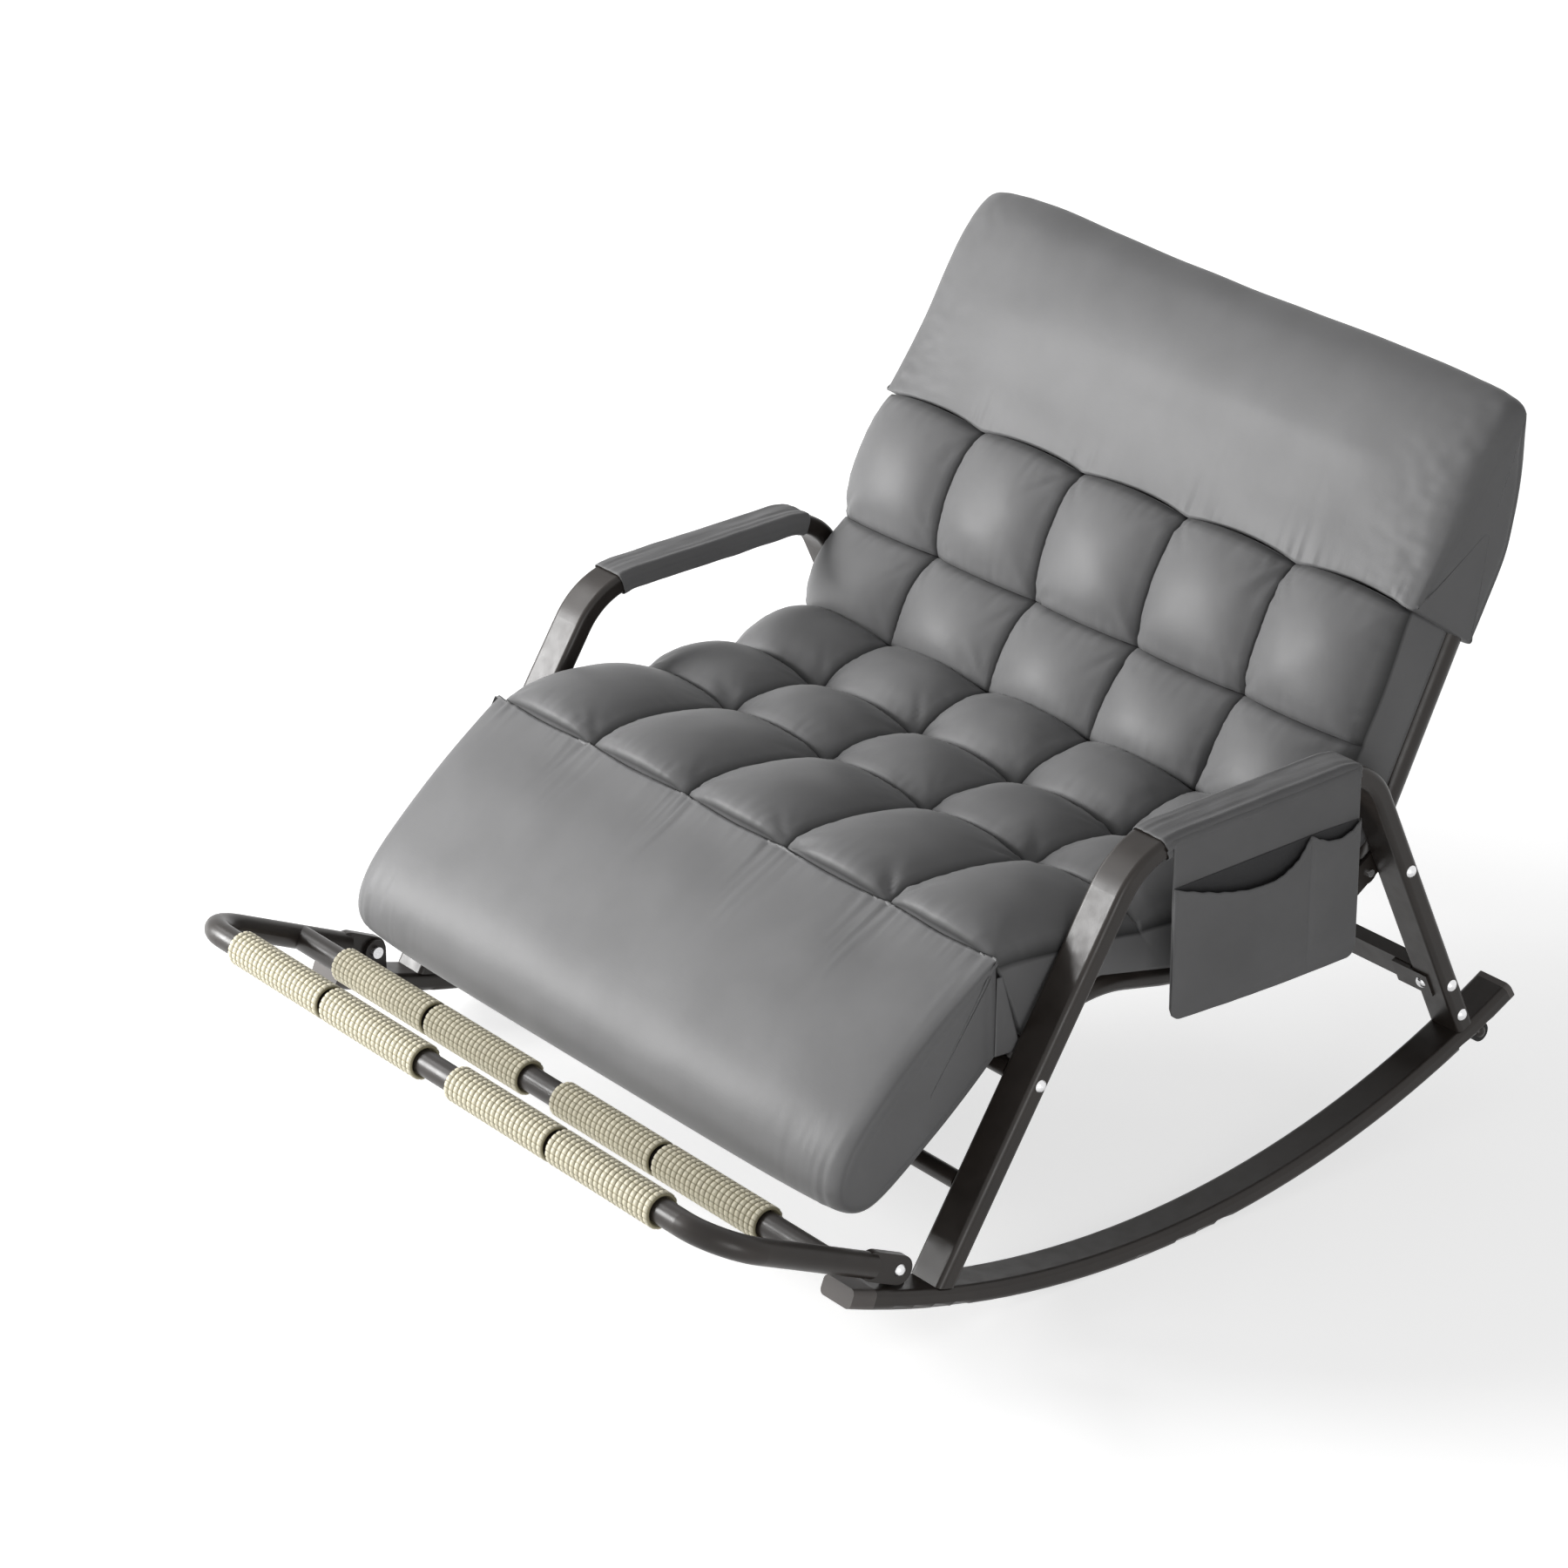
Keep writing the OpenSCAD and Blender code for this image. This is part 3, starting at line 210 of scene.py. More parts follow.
def tube(around, stations):
    """Open tube of quads of radius 1 along Z from 0 to 1."""
    bm = bmesh.new()
    bmesh.ops.create_cone(bm, segments=around, cap_ends=False, radius1=1, radius2=1, depth=1)
    bmesh.ops.translate(bm, verts=bm.verts, vec=(0, 0, 0.5))
    cut_upright(bm, stations)
    return bm


def ring_place(vert, around, stations):
    """Number of a tube's vertex round its ring, which starts a quarter turn on, and of its ring."""
    turn = math.atan2(vert.co.y, vert.co.x) / FULL_TURN - QUARTER
    return round(turn * around) % around, round(vert.co.z * stations)


def new_object(bm, name):
    """Object in the scene from a shape, which is used up."""
    mesh = bpy.data.meshes.new(name)
    bm.to_mesh(mesh)
    bm.free()
    made = bpy.data.objects.new(name, mesh)
    bpy.context.scene.collection.objects.link(made)
    return made


def finish_piece(bm, name, body, finish_slot, stands_for=()):
    """Piece from a shape in millimetres, which may ride on a body and stand for CAD nodes."""
    bmesh.ops.scale(bm, verts=bm.verts, vec=(MM, MM, MM))
    bmesh.ops.recalc_face_normals(bm, faces=bm.faces)
    piece = new_object(bm, name)
    piece.data.shade_smooth()
    piece.data.materials.append(FINISHES[finish_slot])
    if body:
        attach(piece, body)
    if stands_for:
        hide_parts(*stands_for)
    return piece


# Finishes

# Bump heights in metres
PAINT_PEEL_H = 0.0003
ZINC_GRAIN_H = 0.0002
MOULD_GRAIN_H = 0.0004
ROLLER_GRAIN_H = 0.0003
CLOTH_CREASE_H = 0.002
THREAD_STRETCHES = ((1, 0.06, 0.06), (0.06, 1, 1))
# Share of the cloth's colour left along its seams, as painted shade
SEAM_SHADE = 0.25
SHEEN_ROUGHNESS = 0.4


def new_finish(name, colour, roughness, specular=0.5, sheen=0.0, metallic=0.0):
    """Material with its even values set on the shader itself."""
    finish = bpy.data.materials.new(name)
    finish.use_nodes = True
    shader = finish.node_tree.nodes["Principled BSDF"]
    shader.inputs["Base Color"].default_value = (*colour, 1)
    shader.inputs["Roughness"].default_value = roughness
    shader.inputs["Specular IOR Level"].default_value = specular
    shader.inputs["Metallic"].default_value = metallic
    shader.inputs["Sheen Weight"].default_value = sheen
    shader.inputs["Sheen Roughness"].default_value = SHEEN_ROUGHNESS
    return finish, shader


def add_node(finish, kind, **values):
    """Node of a finish with its inputs set by name."""
    node = finish.node_tree.nodes.new(kind)
    for key, value in values.items():
        node.inputs[key.replace("_", " ")].default_value = value
    return node


def object_place(finish):
    """Socket with the surface's place on its piece, in metres."""
    return add_node(finish, "ShaderNodeTexCoord").outputs["Object"]


def piece_value(finish, name):
    """Socket with a value that a piece's vertices carry."""
    reader = finish.node_tree.nodes.new("ShaderNodeAttribute")
    reader.attribute_name = name
    return reader.outputs["Fac"]


def mottle(finish, place, scale, detail=3.0, stretch=(1, 1, 1)):
    """Noise from 0 to 1 over the surface, its scale per metre."""
    stretched = add_node(finish, "ShaderNodeMapping", Scale=stretch)
    finish.node_tree.links.new(place, stretched.inputs["Vector"])
    speckle = add_node(finish, "ShaderNodeTexNoise", Scale=scale, Detail=detail)
    finish.node_tree.links.new(stretched.outputs["Vector"], speckle.inputs["Vector"])
    return speckle.outputs["Fac"]


def graded(finish, value, stops, target):
    """Colour or roughness at a target socket that follows a value through (place, colour) stops."""
    ramp = finish.node_tree.nodes.new("ShaderNodeValToRGB")
    places = ramp.color_ramp.elements
    while len(places) < len(stops):
        places.new(0.5)
    for element, (place, colour) in zip(places, stops):
        element.position = place
        element.color = (*colour, 1)
    finish.node_tree.links.new(value, ramp.inputs["Fac"])
    finish.node_tree.links.new(ramp.outputs["Color"], target)


def raise_by(finish, shader, heights):
    """Bumps chained onto the shader: (height socket, distance in metres, strength)."""
    links = finish.node_tree.links
    last = None
    for height, distance, strength in heights:
        bump = add_node(finish, "ShaderNodeBump", Strength=strength, Distance=distance)
        links.new(height, bump.inputs["Height"])
        if last:
            links.new(last, bump.inputs["Normal"])
        last = bump.outputs["Normal"]
    links.new(last, shader.inputs["Normal"])


def scaled(colour, share):
    """Colour made darker or lighter by a share."""
    return tuple(min(1.0, c * share) for c in colour)


def grey(level):
    """Colour with one level in all its parts."""
    return (level,) * 3


def clouded(finish, value, colour, low, high, target):
    """Colour at a target socket, shaded by a value through two (place, share) stops."""
    graded(finish, value, [(place, scaled(colour, share)) for place, share in (low, high)], target)


def painted_steel(name, colour):
    """Satin paint: faint orange peel, uneven gloss and slightly browner rubbed places."""
    finish, shader = new_finish(name, colour, 0.34, specular=0.38)
    place = object_place(finish)
    broad = mottle(finish, place, scale=14)
    clouded(finish, broad, colour, (0.35, 0.85), (0.7, 1.2), shader.inputs["Base Color"])
    gloss = mottle(finish, place, scale=45)
    graded(finish, gloss, [(0.3, grey(0.3)), (0.7, grey(0.4))], shader.inputs["Roughness"])
    raise_by(finish, shader, [(mottle(finish, place, scale=420, detail=2), PAINT_PEEL_H, 0.12)])
    return finish


def zinc(name, colour):
    """Plated steel with fine, uneven brushing."""
    finish, shader = new_finish(name, colour, 0.28, metallic=1.0)
    place = object_place(finish)
    brushing = mottle(finish, place, scale=260)
    graded(finish, brushing, [(0.35, grey(0.22)), (0.7, grey(0.36))], shader.inputs["Roughness"])
    raise_by(finish, shader, [(mottle(finish, place, scale=900, detail=2), ZINC_GRAIN_H, 0.1)])
    return finish


def moulded(name, colour, roughness, grain):
    """Moulded plastic or rubber: fine grain and a little unevenness in its colour."""
    finish, shader = new_finish(name, colour, roughness, specular=0.4)
    place = object_place(finish)
    cloud = mottle(finish, place, scale=22)
    clouded(finish, cloud, colour, (0.3, 0.92), (0.7, 1.06), shader.inputs["Base Color"])
    raise_by(finish, shader, [(mottle(finish, place, grain, 2), MOULD_GRAIN_H, 0.2)])
    return finish


def ribbed(name, colour, shade):
    """Cream plastic, with painted shade: darker down between its nubs, in the valleys of its ribs."""
    finish, shader = new_finish(name, colour, 0.5, specular=0.4)
    hollow = piece_value(finish, "hollow")
    graded(finish, hollow, [(0.25, colour), (0.95, shade)], shader.inputs["Base Color"])
    grain = mottle(finish, object_place(finish), scale=700, detail=2)
    raise_by(finish, shader, [(grain, ROLLER_GRAIN_H, 0.15)])
    return finish


def woven(name, colour, thread, roughness, sheen, depth):
    """Cloth: crossed threads, soft unevenness, small creases and painted shade along its sewn seams."""
    finish, shader = new_finish(name, colour, roughness, specular=0.2, sheen=sheen)
    place = object_place(finish)
    links = finish.node_tree.links
    weave = []
    for stretch in THREAD_STRETCHES:
        weave.append(mottle(finish, place, 1 / thread, 1, stretch))
    cloud = mottle(finish, place, scale=9, detail=4)
    # Painted shade: the cloth's colour darkened along its seams, by the weight its pieces carry there
    seam_shading = finish.node_tree.nodes.new("ShaderNodeMix")
    seam_shading.data_type = "RGBA"
    links.new(piece_value(finish, "seam"), seam_shading.inputs["Factor"])
    clouded(finish, cloud, colour, (0.3, 0.93), (0.72, 1.07), seam_shading.inputs["A"])
    seam_shading.inputs["B"].default_value = (*scaled(colour, SEAM_SHADE), 1)
    links.new(seam_shading.outputs["Result"], shader.inputs["Base Color"])
    creases = mottle(finish, place, scale=34, detail=3)
    raise_by(
        finish,
        shader,
        [(creases, CLOTH_CREASE_H, 0.12), (weave[0], depth, 0.35), (weave[1], depth, 0.35)],
    )
    return finish


FINISHES = {
    "frame_paint": painted_steel("frame_paint", (0.026, 0.021, 0.018)),
    "bolt_zinc": zinc("bolt_zinc", (0.8, 0.8, 0.81)),
    "cap_plastic": moulded("cap_plastic", (0.1, 0.09, 0.085), roughness=0.5, grain=700),
    "tip_rubber": moulded("tip_rubber", grey(0.028), roughness=0.75, grain=500),
    # Rollers: cream, and the painted shade colour for their valleys
    "roller_plastic": ribbed("roller_plastic", (0.74, 0.69, 0.53), shade=(0.3, 0.27, 0.17)),
    "cushion_cloth": woven(
        "cushion_cloth", (0.17, 0.17, 0.172), thread=0.0011, roughness=0.46, sheen=0.08, depth=0.0002
    ),
    "sleeve_cloth": woven(
        "sleeve_cloth", (0.17, 0.17, 0.172), thread=0.0013, roughness=0.72, sheen=0.15, depth=0.0004
    ),
    "sling_cloth": woven(
        "sling_cloth", (0.06, 0.06, 0.062), thread=0.0022, roughness=0.8, sheen=0.1, depth=0.0008
    ),
}

for row in frame["record"]["subparts"]:
    node = frame["nodes"][row["node"]]
    finish = FINISHES[row["material_slot"]]
    if not node.material_slots:
        node.data.materials.append(finish)
    for place in node.material_slots:
        place.material = finish


# Quilted cushions

QUILT_LAYERS = 12
CROWN = 38
CROWN_SPREAD = 0.07
FULL_ACROSS = 2.15
FULL_ALONG = 2.3
SEAM_DEPTH = 15
SEAM_HALF_W = 4.2
SEAM_RISE = 3
EDGE_DROP = 16
EDGE_FULLNESS = 2.2
EDGE_HELD = 0.85
EDGE_HELD_FROM = 0.6
TUFT_DEPTH = 10
TUFT_R = 17
DRAWN_IN = 7
OVERHANG = 6
PAD_WAVES = (1.6, 70, 60)

# Where seat and back meet: from which share of the pad its seams fade, and how far it reaches over
MEETING_FROM = 0.2
FOOT_REACH = 3

# Pads pressed over their seam: how far, and the press's middle and half width
PRESS = 4.4
PRESS_AT = 5
PRESS_HALF_W = 9

# Creases out of a tuft, broad and fine, and puckers along a seam
CREASE_BROAD_H = 12
CREASE_FINE_H = 6
CREASE_END = 90
CREASE_FADE = 46
CREASE_START = 4
CREASE_EASE = 14
PUCKER_FADE = 15.0
PUCKER_WAVES = (2.6, 9.0, 30.0)

# Walls below the outer seams
WALL_FULLNESS = 0.6
SIDE_BULGE = 1.5
SIDE_GROOVE = 2.0
GROOVE_LAYERS = 1.2


def tuft_creases(across, along, mark):
    """Depth of the creases that run out from a tuft, at a place in millimetres from it."""
    far = math.hypot(across, along)
    if far > CREASE_END:
        return 0.0
    turn = math.atan2(along, across)
    spoke = noise.noise(Vector((2.3 * math.cos(turn), 2.3 * math.sin(turn), 3.7 * mark)))
    fine = noise.noise(Vector((5.1 * math.cos(turn), 5.1 * math.sin(turn), 9.1 * mark)))
    depth = CREASE_BROAD_H * max(0.0, spoke) + CREASE_FINE_H * max(0.0, fine)
    return depth * bell(far, CREASE_FADE) * ease((far - CREASE_START) / CREASE_EASE)


def puckers(along, off, mark):
    """Small waves along a seam that fade away from it."""
    return unevenness(along, off, PUCKER_WAVES, seed=5.3 * mark) * math.exp(-off / PUCKER_FADE)


def quilted(
    name, body, node, face, below, out, down, foot_bulge, head_bulge, meeting_row, meeting_end
):
    """Quilted cushion: rows of stuffed pads between a face chain's seams, on a flat underside."""
    rows = [(b - a).length for a, b in zip(face, face[1:])]
    row_cells = [round(row / CELL) for row in rows]
    columns = PADS * PAD_CELLS
    total = sum(row_cells)
    starts = [sum(row_cells[:i]) for i in range(len(rows))]
    bm = slab(columns, total, QUILT_LAYERS)
    seam = bm.verts.layers.float.new("seam")
    for vert in bm.verts:
        i = round(vert.co.x * columns)
        j = round(vert.co.y * total)
        high = vert.co.z
        column = min(i // PAD_CELLS, PADS - 1)
        row = max(k for k in range(len(rows)) if starts[k] <= min(j, total - 1))
        a = 2 * (i - column * PAD_CELLS) / PAD_CELLS - 1
        b = 2 * (j - starts[row]) / row_cells[row] - 1
        share = (b + 1) / 2
        x = CUSHION_W * (i / columns - 0.5)
        under = chain_at(below, j / total)
        under_x = x * (1 - 2 * DRAWN_IN / CUSHION_W)
        base = face[row].lerp(face[row + 1], share)
        # The outer pads fall to the side seam, where the quilting fades
        edge = abs(a) if (column == 0 and a < 0) or (column == PADS - 1 and a > 0) else 0.0
        drop = EDGE_DROP * (1 - swell(edge, EDGE_FULLNESS))
        held = 1 - EDGE_HELD * ease((edge - EDGE_HELD_FROM) / (1 - EDGE_HELD_FROM))
        # The quilting also fades where seat and back meet
        meets = 0.0
        if row == meeting_row:
            meets = ease((b * meeting_end - MEETING_FROM) / (1 - MEETING_FROM))
        size = 1 + CROWN_SPREAD * noise.noise(Vector((column * 1.7, row * 2.9, 4.0 + len(rows))))
        fill = swell(a, FULL_ACROSS) * swell(b, FULL_ALONG)
        near_x = (1 - abs(a)) * PAD_W / 2
        near_y = (1 - abs(b)) * rows[row] / 2
        outer_y = (row == 0 and b < 0) or (row == len(rows) - 1 and b > 0)
        seam_x = bell(near_x, SEAM_HALF_W) * (edge == 0)
        seam_y = bell(near_y, SEAM_HALF_W) * (not outer_y)
        crease = max(seam_x, seam_y)
        quilting = held * (1 - meets)
        height = CROWN * size * fill - SEAM_DEPTH * crease * quilting - drop
        height += SEAM_RISE * (math.cos(HALF_TURN * a / 2) + math.cos(HALF_TURN * b / 2))
        # Tufts: the nearest corner of the pad
        corner = (column + (a > 0)) + 11 * (row + (b > 0)) + 31 * len(rows)
        across = near_x if a < 0 else -near_x
        along = near_y if b < 0 else -near_y
        height -= quilting * TUFT_DEPTH * bell(math.hypot(near_x, near_y), TUFT_R)
        height -= quilting * tuft_creases(across, along, corner)
        beside_row = puckers(x, near_y, row + 1) * (near_y > 0)
        beside_column = puckers(share * rows[row], near_x, column + 9) * (near_x > 0)
        height += beside_row + beside_column
        height += unevenness(x, share * rows[row], PAD_WAVES, seed=row + 2.5)
        top = base + height * out + OVERHANG * fill * down
        # Neighbouring pads press on each other over their seam
        ahead = (face[row + 1] - face[row]).normalized() * math.copysign(1, b)
        if outer_y and not meets:
            top = top + SCALLOP * scallop(x) * math.exp(-near_y / SCALLOP_REACH) * ahead
        elif meets:
            top = top + FOOT_REACH * meets * ahead
        elif near_y > 1:
            top = top + PRESS * bell(near_y - PRESS_AT, PRESS_HALF_W) * ahead
        pull = 1 - 2 * DRAWN_IN * (1 - math.cos(HALF_TURN * b / 2)) / CUSHION_W
        top_x = x * pull
        if edge == 0 and near_x > 1:
            top_x += math.copysign(PRESS, a) * bell(near_x - PRESS_AT, PRESS_HALF_W)
        # Painted shade: on the top face, a weight that darkens the cloth over a few millimetres at the
        # seams
        vert[seam] = bell(min(near_x, near_y), SEAM_HALF_W) if high >= 1 else 0.0
        if high >= 1:
            place, place_x = top, top_x
        elif high <= 0:
            place, place_x = under, under_x
        else:
            place = under.lerp(top, high)
            place_x = under_x + (top_x - under_x) * high
            if j == 0:
                place = place + foot_bulge * math.sin(HALF_TURN * high) ** WALL_FULLNESS * down
            if j == total:
                place = place - head_bulge * math.sin(HALF_TURN * high) ** WALL_FULLNESS * down
            if i in (0, columns):
                groove = SIDE_GROOVE * bell((1 - high) * QUILT_LAYERS, GROOVE_LAYERS)
                place_x += math.copysign(SIDE_BULGE * math.sin(HALF_TURN * high) - groove, x)
        vert.co = (place_x, place.x, place.y)
    piece = finish_piece(bm, name, body, "cushion_cloth", [node])


SEAT_FACE = [Vector(p) for p in ((-193.8, 469), (45, 449), (202, 441), (331, 471))]
SEAT_BELOW = [
    Vector(p) for p in ((-145.3, 337.4), (-20.7, 388.2), (102, 362.9), (170.7, 361.9), (391.2, 400.6))
]
quilted(
    "seat_quilt", "base", "seat_cushion", SEAT_FACE, SEAT_BELOW, Vector((0, 1)), Vector((-1, 0)),
    foot_bulge=0, head_bulge=12, meeting_row=2, meeting_end=1,
)

SLING_GAP = 0.4
BACK_FACE = [on_back(*p) for p in ((15, 126.3), (156, 114.3), (343, 119.3))]
BACK_BELOW = [on_back(up, BACK_TUBE_R + SLING_GAP) for up in (36, 336)]
quilted(
    "back_quilt", "backrest", "back_cushion", BACK_FACE, BACK_BELOW, OFF_BACK, -UP_BACK,
    foot_bulge=22, head_bulge=3, meeting_row=0, meeting_end=-1,
)


# Web of cloth that joins the seat's rear to the back's foot

WEB_CHAIN = [
    Vector(p) for p in (
        (372, 436), (376, 432), (381, 429.5), (387, 429), (393, 431), (398, 435), (402, 441),
    )
]
WEB_W = 1036
WEB_T = 2.4
WEB_CELLS = (160, 24)
WEB_STEP = 0.08
WEB_WAVES = (0.8, 24, 0.5)


def cushion_web():
    """Cloth between seat and back, folded under their meeting line."""
    bm = slab(*WEB_CELLS, 1)
    for vert in bm.verts:
        x = WEB_W * (vert.co.x - 0.5)
        spot = chain_at(WEB_CHAIN, vert.co.y)
        ahead = chain_way(WEB_CHAIN, vert.co.y, WEB_STEP)
        off = Vector((ahead.y, -ahead.x)).normalized()
        ripple = unevenness(x, vert.co.y, WEB_WAVES, seed=6.6)
        place = spot + (WEB_T * vert.co.z + ripple) * off
        vert.co = (x, place.x, place.y)
    web = finish_piece(bm, "cushion_web", None, "cushion_cloth")
    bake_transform(web)


cushion_web()


# Rolls: leg bolster and head pillow

END_RINGS = 14
END_GROOVE = 1.4
END_GROOVE_RINGS = 0.8
EVEN_PART = 0.8
CLOSER_PART = 0.2
ROLL_FULLNESS = 5
CALM_W = 25


def close_ends(bm, centre, dome):
    """Panels over both open ends of a roll: rings drawn in to a centre, slightly domed."""
    for side in (-1, 1):
        rim = [
            e for e in bm.edges
            if e.is_boundary and all(v.co.x * side > 0 for v in e.verts)
        ]
        flat = rim[0].verts[0].co.x
        before = 1.0
        for k in range(1, END_RINGS):
            share = 1 - k / END_RINGS
            grown = bmesh.ops.extrude_edge_only(bm, edges=rim)["geom"]
            rim = [g for g in grown if isinstance(g, bmesh.types.BMEdge)]
            lift = dome * (1 - share**3) - END_GROOVE * bell(k - 1, END_GROOVE_RINGS)
            for vert in [g for g in grown if isinstance(g, bmesh.types.BMVert)]:
                place = Vector((vert.co.y, vert.co.z)) - centre
                place = centre + place * share / before
                vert.co = (flat + side * lift, place.x, place.y)
            before = share
        bmesh.ops.edgeloop_fill(bm, edges=rim)


def spread_stations(width, count):
    """Places along a roll from -width/2 to width/2, closer together at its ends."""
    places = []
    for k in range(count + 1):
        t = 2 * k / count - 1
        places.append(width / 2 * (EVEN_PART * t + CLOSER_PART * math.sin(HALF_TURN * t / 2)))
    return places


def rolled(side, middle, width, count, surface, shift, centre, dome, end_w, end_fall, sharp):
    """Plain padded roll, its profile blended from its side shape to its fuller middle."""
    steps = steps_for(side, CELL)
    side_outline = rounded(side, steps, sharp)
    middle_outline = rounded(middle, steps, sharp)
    around = len(side_outline)
    ways = outward(middle_outline)
    places = spread_stations(width, count)
    bm = tube(around, count)
    for vert in bm.verts:
        i, k = ring_place(vert, around, count)
        x = places[k]
        share = x / width + 0.5
        full = swell(2 * share - 1, ROLL_FULLNESS)
        point = side_outline[i].lerp(middle_outline[i], full)
        near_end = max(0.0, 1 - (width / 2 - abs(x)) / end_w)
        fall = end_fall * (1 - math.sqrt(1 - near_end**2))
        # The unevenness fades at the ends, so that their seams run smoothly
        calm = ease((width / 2 - abs(x)) / CALM_W)
        point = point + (surface(point, x) * calm - fall) * ways[i] + shift(point, x)
        vert.co = (x, point.x, point.y)
    close_ends(bm, centre, dome)
    return bm


BOLSTER_L = 366
BOLSTER_T = 110


def on_bolster(share_down, share_in):
    """Point of the bolster's profile by shares of its length and thickness."""
    return FRONT_SEAM + share_down * BOLSTER_L * BOLSTER_DOWN + share_in * BOLSTER_T * BOLSTER_IN


BOLSTER_SIDE = [
    (0, 0), (0.12, -0.04), (0.35, -0.06), (0.6, -0.04), (0.79, 0.02), (0.91, 0.15), (0.98, 0.34),
    (1, 0.56), (0.96, 0.78), (0.86, 0.9), (0.62, 0.98), (0.42, 1), (0.235, 0.985),
]
BOLSTER_FILL = [
    (0, 0), (0, 0), (0, -1), (0, -1.2), (0.2, -1.1), (0.6, -0.8), (1, -0.2), (1, 0.4),
    (0.8, 0.9), (0.2, 1), (0, 0.2), (0, 0), (0, 0),
]
BOLSTER_BULGE = 12
BOLSTER_WAVES = (1.8, 110, 90)

# Gathers below the top seam: plain, more at the tufts, and the dimple at a tuft
GATHER_DEPTH = 60
GATHER_HALF_W = 42
GATHER_H = 1.0
GATHER_TUFT_H = 3.0
GATHER_REACH = 20
GATHER_TUFT_REACH = 34
GATHER_START = 5
GATHER_WAVES = (1, 8.5, 120)
FINE_GATHER_WAVES = (0.5, 4.3, 90)
DIMPLE_DEPTH = 4.5
DIMPLE_REACH = 26

# Short upright folds where the lower end turns under, near the sides
LOW_FOLD_AT = 345
LOW_FOLD_HALF_W = 40
LOW_FOLD_SIDE = 120
LOW_FOLD_WAVES = (1.2, 9, 60)


def bolster_surface(point, x):
    """Gathers below the front seam, strongest at the tufts, and folds at the lower corners."""
    way, depth = place_on(point, FRONT_SEAM, BOLSTER_DOWN, BOLSTER_IN)
    if depth > GATHER_DEPTH:
        return 0.0
    near = bell(from_tuft(x), GATHER_HALF_W)
    reach = GATHER_REACH + GATHER_TUFT_REACH * near
    gather = unevenness(x, way, GATHER_WAVES, seed=1.5)
    gather += unevenness(x, way, FINE_GATHER_WAVES, seed=7.5)
    lift = (GATHER_H + GATHER_TUFT_H * near) * gather * math.exp(-way / reach) * ease(way / GATHER_START)
    lift -= DIMPLE_DEPTH * near * math.exp(-way / DIMPLE_REACH)
    corner = bell(CUSHION_W / 2 - abs(x), LOW_FOLD_SIDE)
    low = bell(way - LOW_FOLD_AT, LOW_FOLD_HALF_W)
    lift += corner * low * unevenness(x, way, LOW_FOLD_WAVES, seed=4.5)
    lift += unevenness(x, way, BOLSTER_WAVES, seed=2.2)
    return lift


def bolster_shift(point, x):
    """The front pads push the bolster's top seam forward between the tufts."""
    way, depth = (max(part, 0) for part in place_on(point, FRONT_SEAM, BOLSTER_DOWN, BOLSTER_IN))
    push = SCALLOP * scallop(x) * math.exp(-way / SCALLOP_REACH) * max(1 - depth / BOLSTER_T, 0)
    return push * BOLSTER_DOWN


bolster_side = [on_bolster(*p) for p in BOLSTER_SIDE]
bolster_middle = [
    p + BOLSTER_BULGE * (down * BOLSTER_DOWN + into * BOLSTER_IN)
    for p, (down, into) in zip(bolster_side, BOLSTER_FILL)
]
shape = rolled(
    bolster_side, bolster_middle, CUSHION_W, count=250, surface=bolster_surface, shift=bolster_shift,
    centre=on_bolster(0.55, 0.5), dome=1.5, end_w=30, end_fall=7, sharp=(0, 12),
)
finish_piece(shape, "bolster_roll", "base", "cushion_cloth", ["leg_bolster"])

PILLOW_W = 1096
PILLOW_SIDE = [
    (0, 1.31), (0.12, 1.2), (0.26, 1.09), (0.41, 0.99), (0.55, 0.93), (0.68, 0.87), (0.79, 0.77),
    (0.87, 0.66), (0.91, 0.55), (0.9, 0.44), (0.81, 0.29), (0.655, 0.02), (0.5, -0.18),
    (0.335, -0.32), (0.12, -0.32), (-0.06, -0.3),
]
PILLOW_FILL = [
    (0, 0), (0, 0.27), (0, 0.55), (0, 0.87), (0, 1.08), (0.28, 1.08), (0.56, 0.95), (0.56, 0.75),
    (0.63, 0.42), (0.7, 0.11), (0.75, -0.16), (0.6, -0.18), (0.2, -0.13), (0, 0), (0, 0), (0, 0),
]
PILLOW_BULGE = 38
PILLOW_FOOT = 345
PILLOW_H = 322
PILLOW_T = 84
PILLOW_WAVES = (2.2, 130, 80)

# Gathers above the lower seam, on the front only
FOOT_GATHER_OFF = 40
FOOT_GATHER_HALF_W = 40
FOOT_GATHER_H = 0.7
FOOT_GATHER_TUFT_H = 1.6
FOOT_GATHER_REACH = 16
FOOT_GATHER_TUFT_REACH = 22
FOOT_GATHER_WAVES = (1, 8, 110)

# Pulls near the ends
PULL_SIDE = 90
PULL_WAVES = (1.6, 26, 15)

# The foot's push, full from this way off the back, and the fuller right end
FOOT_PUSH_OFF = 100
RIGHT_END_RISE = 22
RIGHT_END_REACH = 330
RIGHT_END_FROM = 120
RIGHT_END_EASE = 150


def on_pillow(share_up, share_off):
    """Point of the pillow's profile by shares of its height and thickness."""
    return on_back(PILLOW_FOOT + share_up * PILLOW_H, share_off * PILLOW_T)


